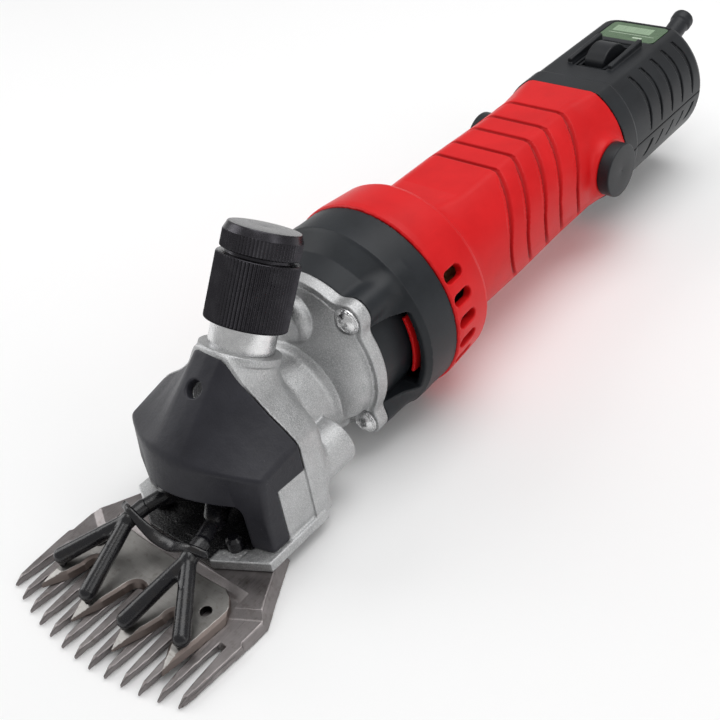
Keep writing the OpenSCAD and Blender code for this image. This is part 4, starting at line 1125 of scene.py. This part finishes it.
def on_boot(a, b, h):
    s, c = math.sin(BOOT_LEAN), math.cos(BOOT_LEAN)
    return a, BOOT_Y + h * c - b * s, BOOT_Z + h * s + b * c


boot = rounded_rows(
    [(-3, 4.5, 0), (1, 4.5, 0), (1.4, 7.2, 0), (4.0, 6.7, 0), (7, 5.7, 0), (16, 4.7, 0), (30, 4.1, 0),
     (34.4, 4.1, 0), (35.4, 4.7, 0), (38.4, 4.75, 0), (BOOT_L, 4.2, 0), (BOOT_L, 2.7, 0), (-3, 2.7, 0)],
    0.9,
)
boot = to_object("cord_boot", *lathe(boot, 96, on_boot))
fit(sharp(boot, 50), "housing", ["cord_boot"], "boot_rubber")

label = bmesh.new()
edge = 2.4
for cx, cy, start in ((1, 1, 0), (-1, 1, 90), (-1, -1, 180), (1, -1, 270)):
    for step in range(9):
        a = math.radians(start + step * 11.25)
        label.verts.new(
            ((cx * (12.6 - edge) + edge * math.cos(a)) * MM,
             (177.4 + AXIS_Y + cy * (7.7 - edge) + edge * math.sin(a)) * MM, (22.4 + AXIS_Z) * MM)
        )
face = label.faces.new(label.verts)
raised = bmesh.ops.extrude_face_region(label, geom=[face])["geom"]
raised = [v for v in raised if isinstance(v, bmesh.types.BMVert)]
bmesh.ops.translate(label, verts=raised, vec=(0, 0, 0.45 * MM))
bmesh.ops.recalc_face_normals(label, faces=label.faces)
mesh = bpy.data.meshes.new("label_plate")
label.to_mesh(mesh)
label.free()
label_piece = bpy.data.objects.new("label_plate", mesh)
bpy.context.scene.collection.objects.link(label_piece)
soften = label_piece.modifiers.new("edge", "BEVEL")
soften.width, soften.segments = 0.15 * MM, 2
fit(label_piece, "housing", ["label_plate"], "label_film")

# The inner pieces and small hidden hardware keep their CAD shape.
for material, nodes in {
    "blackened_steel": ("comb_screws", "fork"),
    "bearing_steel": (
        "fork_cup", "centre_post", "tension_pin", "drive_gear", "crankshaft", "crank_roller",
        "crank_front_bearing", "crank_rear_bearing", "front_bearing", "rear_bearing", "armature_shaft",
    ),
    "bright_steel": ("brush_springs", "housing_screws", "clamp_screws"),
    "laminations": ("armature_core", "stator_core"),
    "copper": ("armature_windings", "commutator", "field_coils"),
    "brass": ("brush_holders",),
    "carbon": ("carbon_brushes",),
    "black_nylon": ("fan", "cord_clamp"),
    "black_plastic": ("switch_body",),
}.items():
    for node in nodes:
        finish(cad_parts[node], material)


# ---------- floor, light and camera ----------

floor_mesh = bpy.data.meshes.new("floor")
half = 3.0
sheet = [(-half, -half, 0), (half, -half, 0), (half, half, 0), (-half, half, 0)]
floor_mesh.from_pydata(sheet, [], [(0, 1, 2, 3)])
floor = bpy.data.objects.new("floor", floor_mesh)
floor.location.z = -0.0004
bpy.context.scene.collection.objects.link(floor)
paper = Nodes("paper")
weave = paper.bump(paper.noise(0.4, 2), 0.02)
floor_mesh.materials.append(paper.done((0.93, 0.93, 0.93), 0.9, 0.0, weave, Specular_IOR_Level=0.1))
floor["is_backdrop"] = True

world = bpy.data.worlds.new("studio")
bpy.context.scene.world = world
world.use_nodes = True
world.node_tree.nodes["Background"].inputs["Color"].default_value = (1, 1, 1, 1)
world.node_tree.nodes["Background"].inputs["Strength"].default_value = 0.45
bpy.context.scene.view_settings.view_transform = "Standard"


def softbox(name, place, target, size, power):
    lamp = bpy.data.lights.new(name, "AREA")
    lamp.shape, lamp.size, lamp.size_y, lamp.energy = "RECTANGLE", size[0], size[1], power
    light = bpy.data.objects.new(name, lamp)
    light.location = place
    light.rotation_euler = (Vector(target) - Vector(place)).to_track_quat("-Z", "Y").to_euler()
    bpy.context.scene.collection.objects.link(light)


softbox("overhead", (0.1, 0.25, 1.0), (0, 0, 0), (0.9, 0.9), 6.5)
softbox("left", (-0.9, -0.35, 0.6), (0, -0.05, 0.03), (0.5, 0.9), 3.5)
softbox("right", (0.9, 0.1, 0.5), (0, 0, 0.03), (0.3, 0.8), 1.3)

camera = bpy.data.objects.new("camera", bpy.data.cameras.new("camera"))
camera.data.sensor_width, camera.data.lens = 36, 53.44
eye, aim, roll = Vector((0.209185, -0.251841, 0.24646)), Vector((0.017197, -0.068289, 0.0354)), -0.181
forward = (aim - eye).normalized()
right = forward.cross(Vector((0, 0, 1))).normalized()
up = right.cross(forward)
right, up = math.cos(roll) * right + math.sin(roll) * up, math.cos(roll) * up - math.sin(roll) * right
camera.matrix_world = Matrix((right, up, -forward)).transposed().to_4x4()
camera.location = eye
bpy.context.scene.collection.objects.link(camera)
bpy.context.scene.camera = camera

bpy.context.view_layer.update()
low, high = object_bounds()
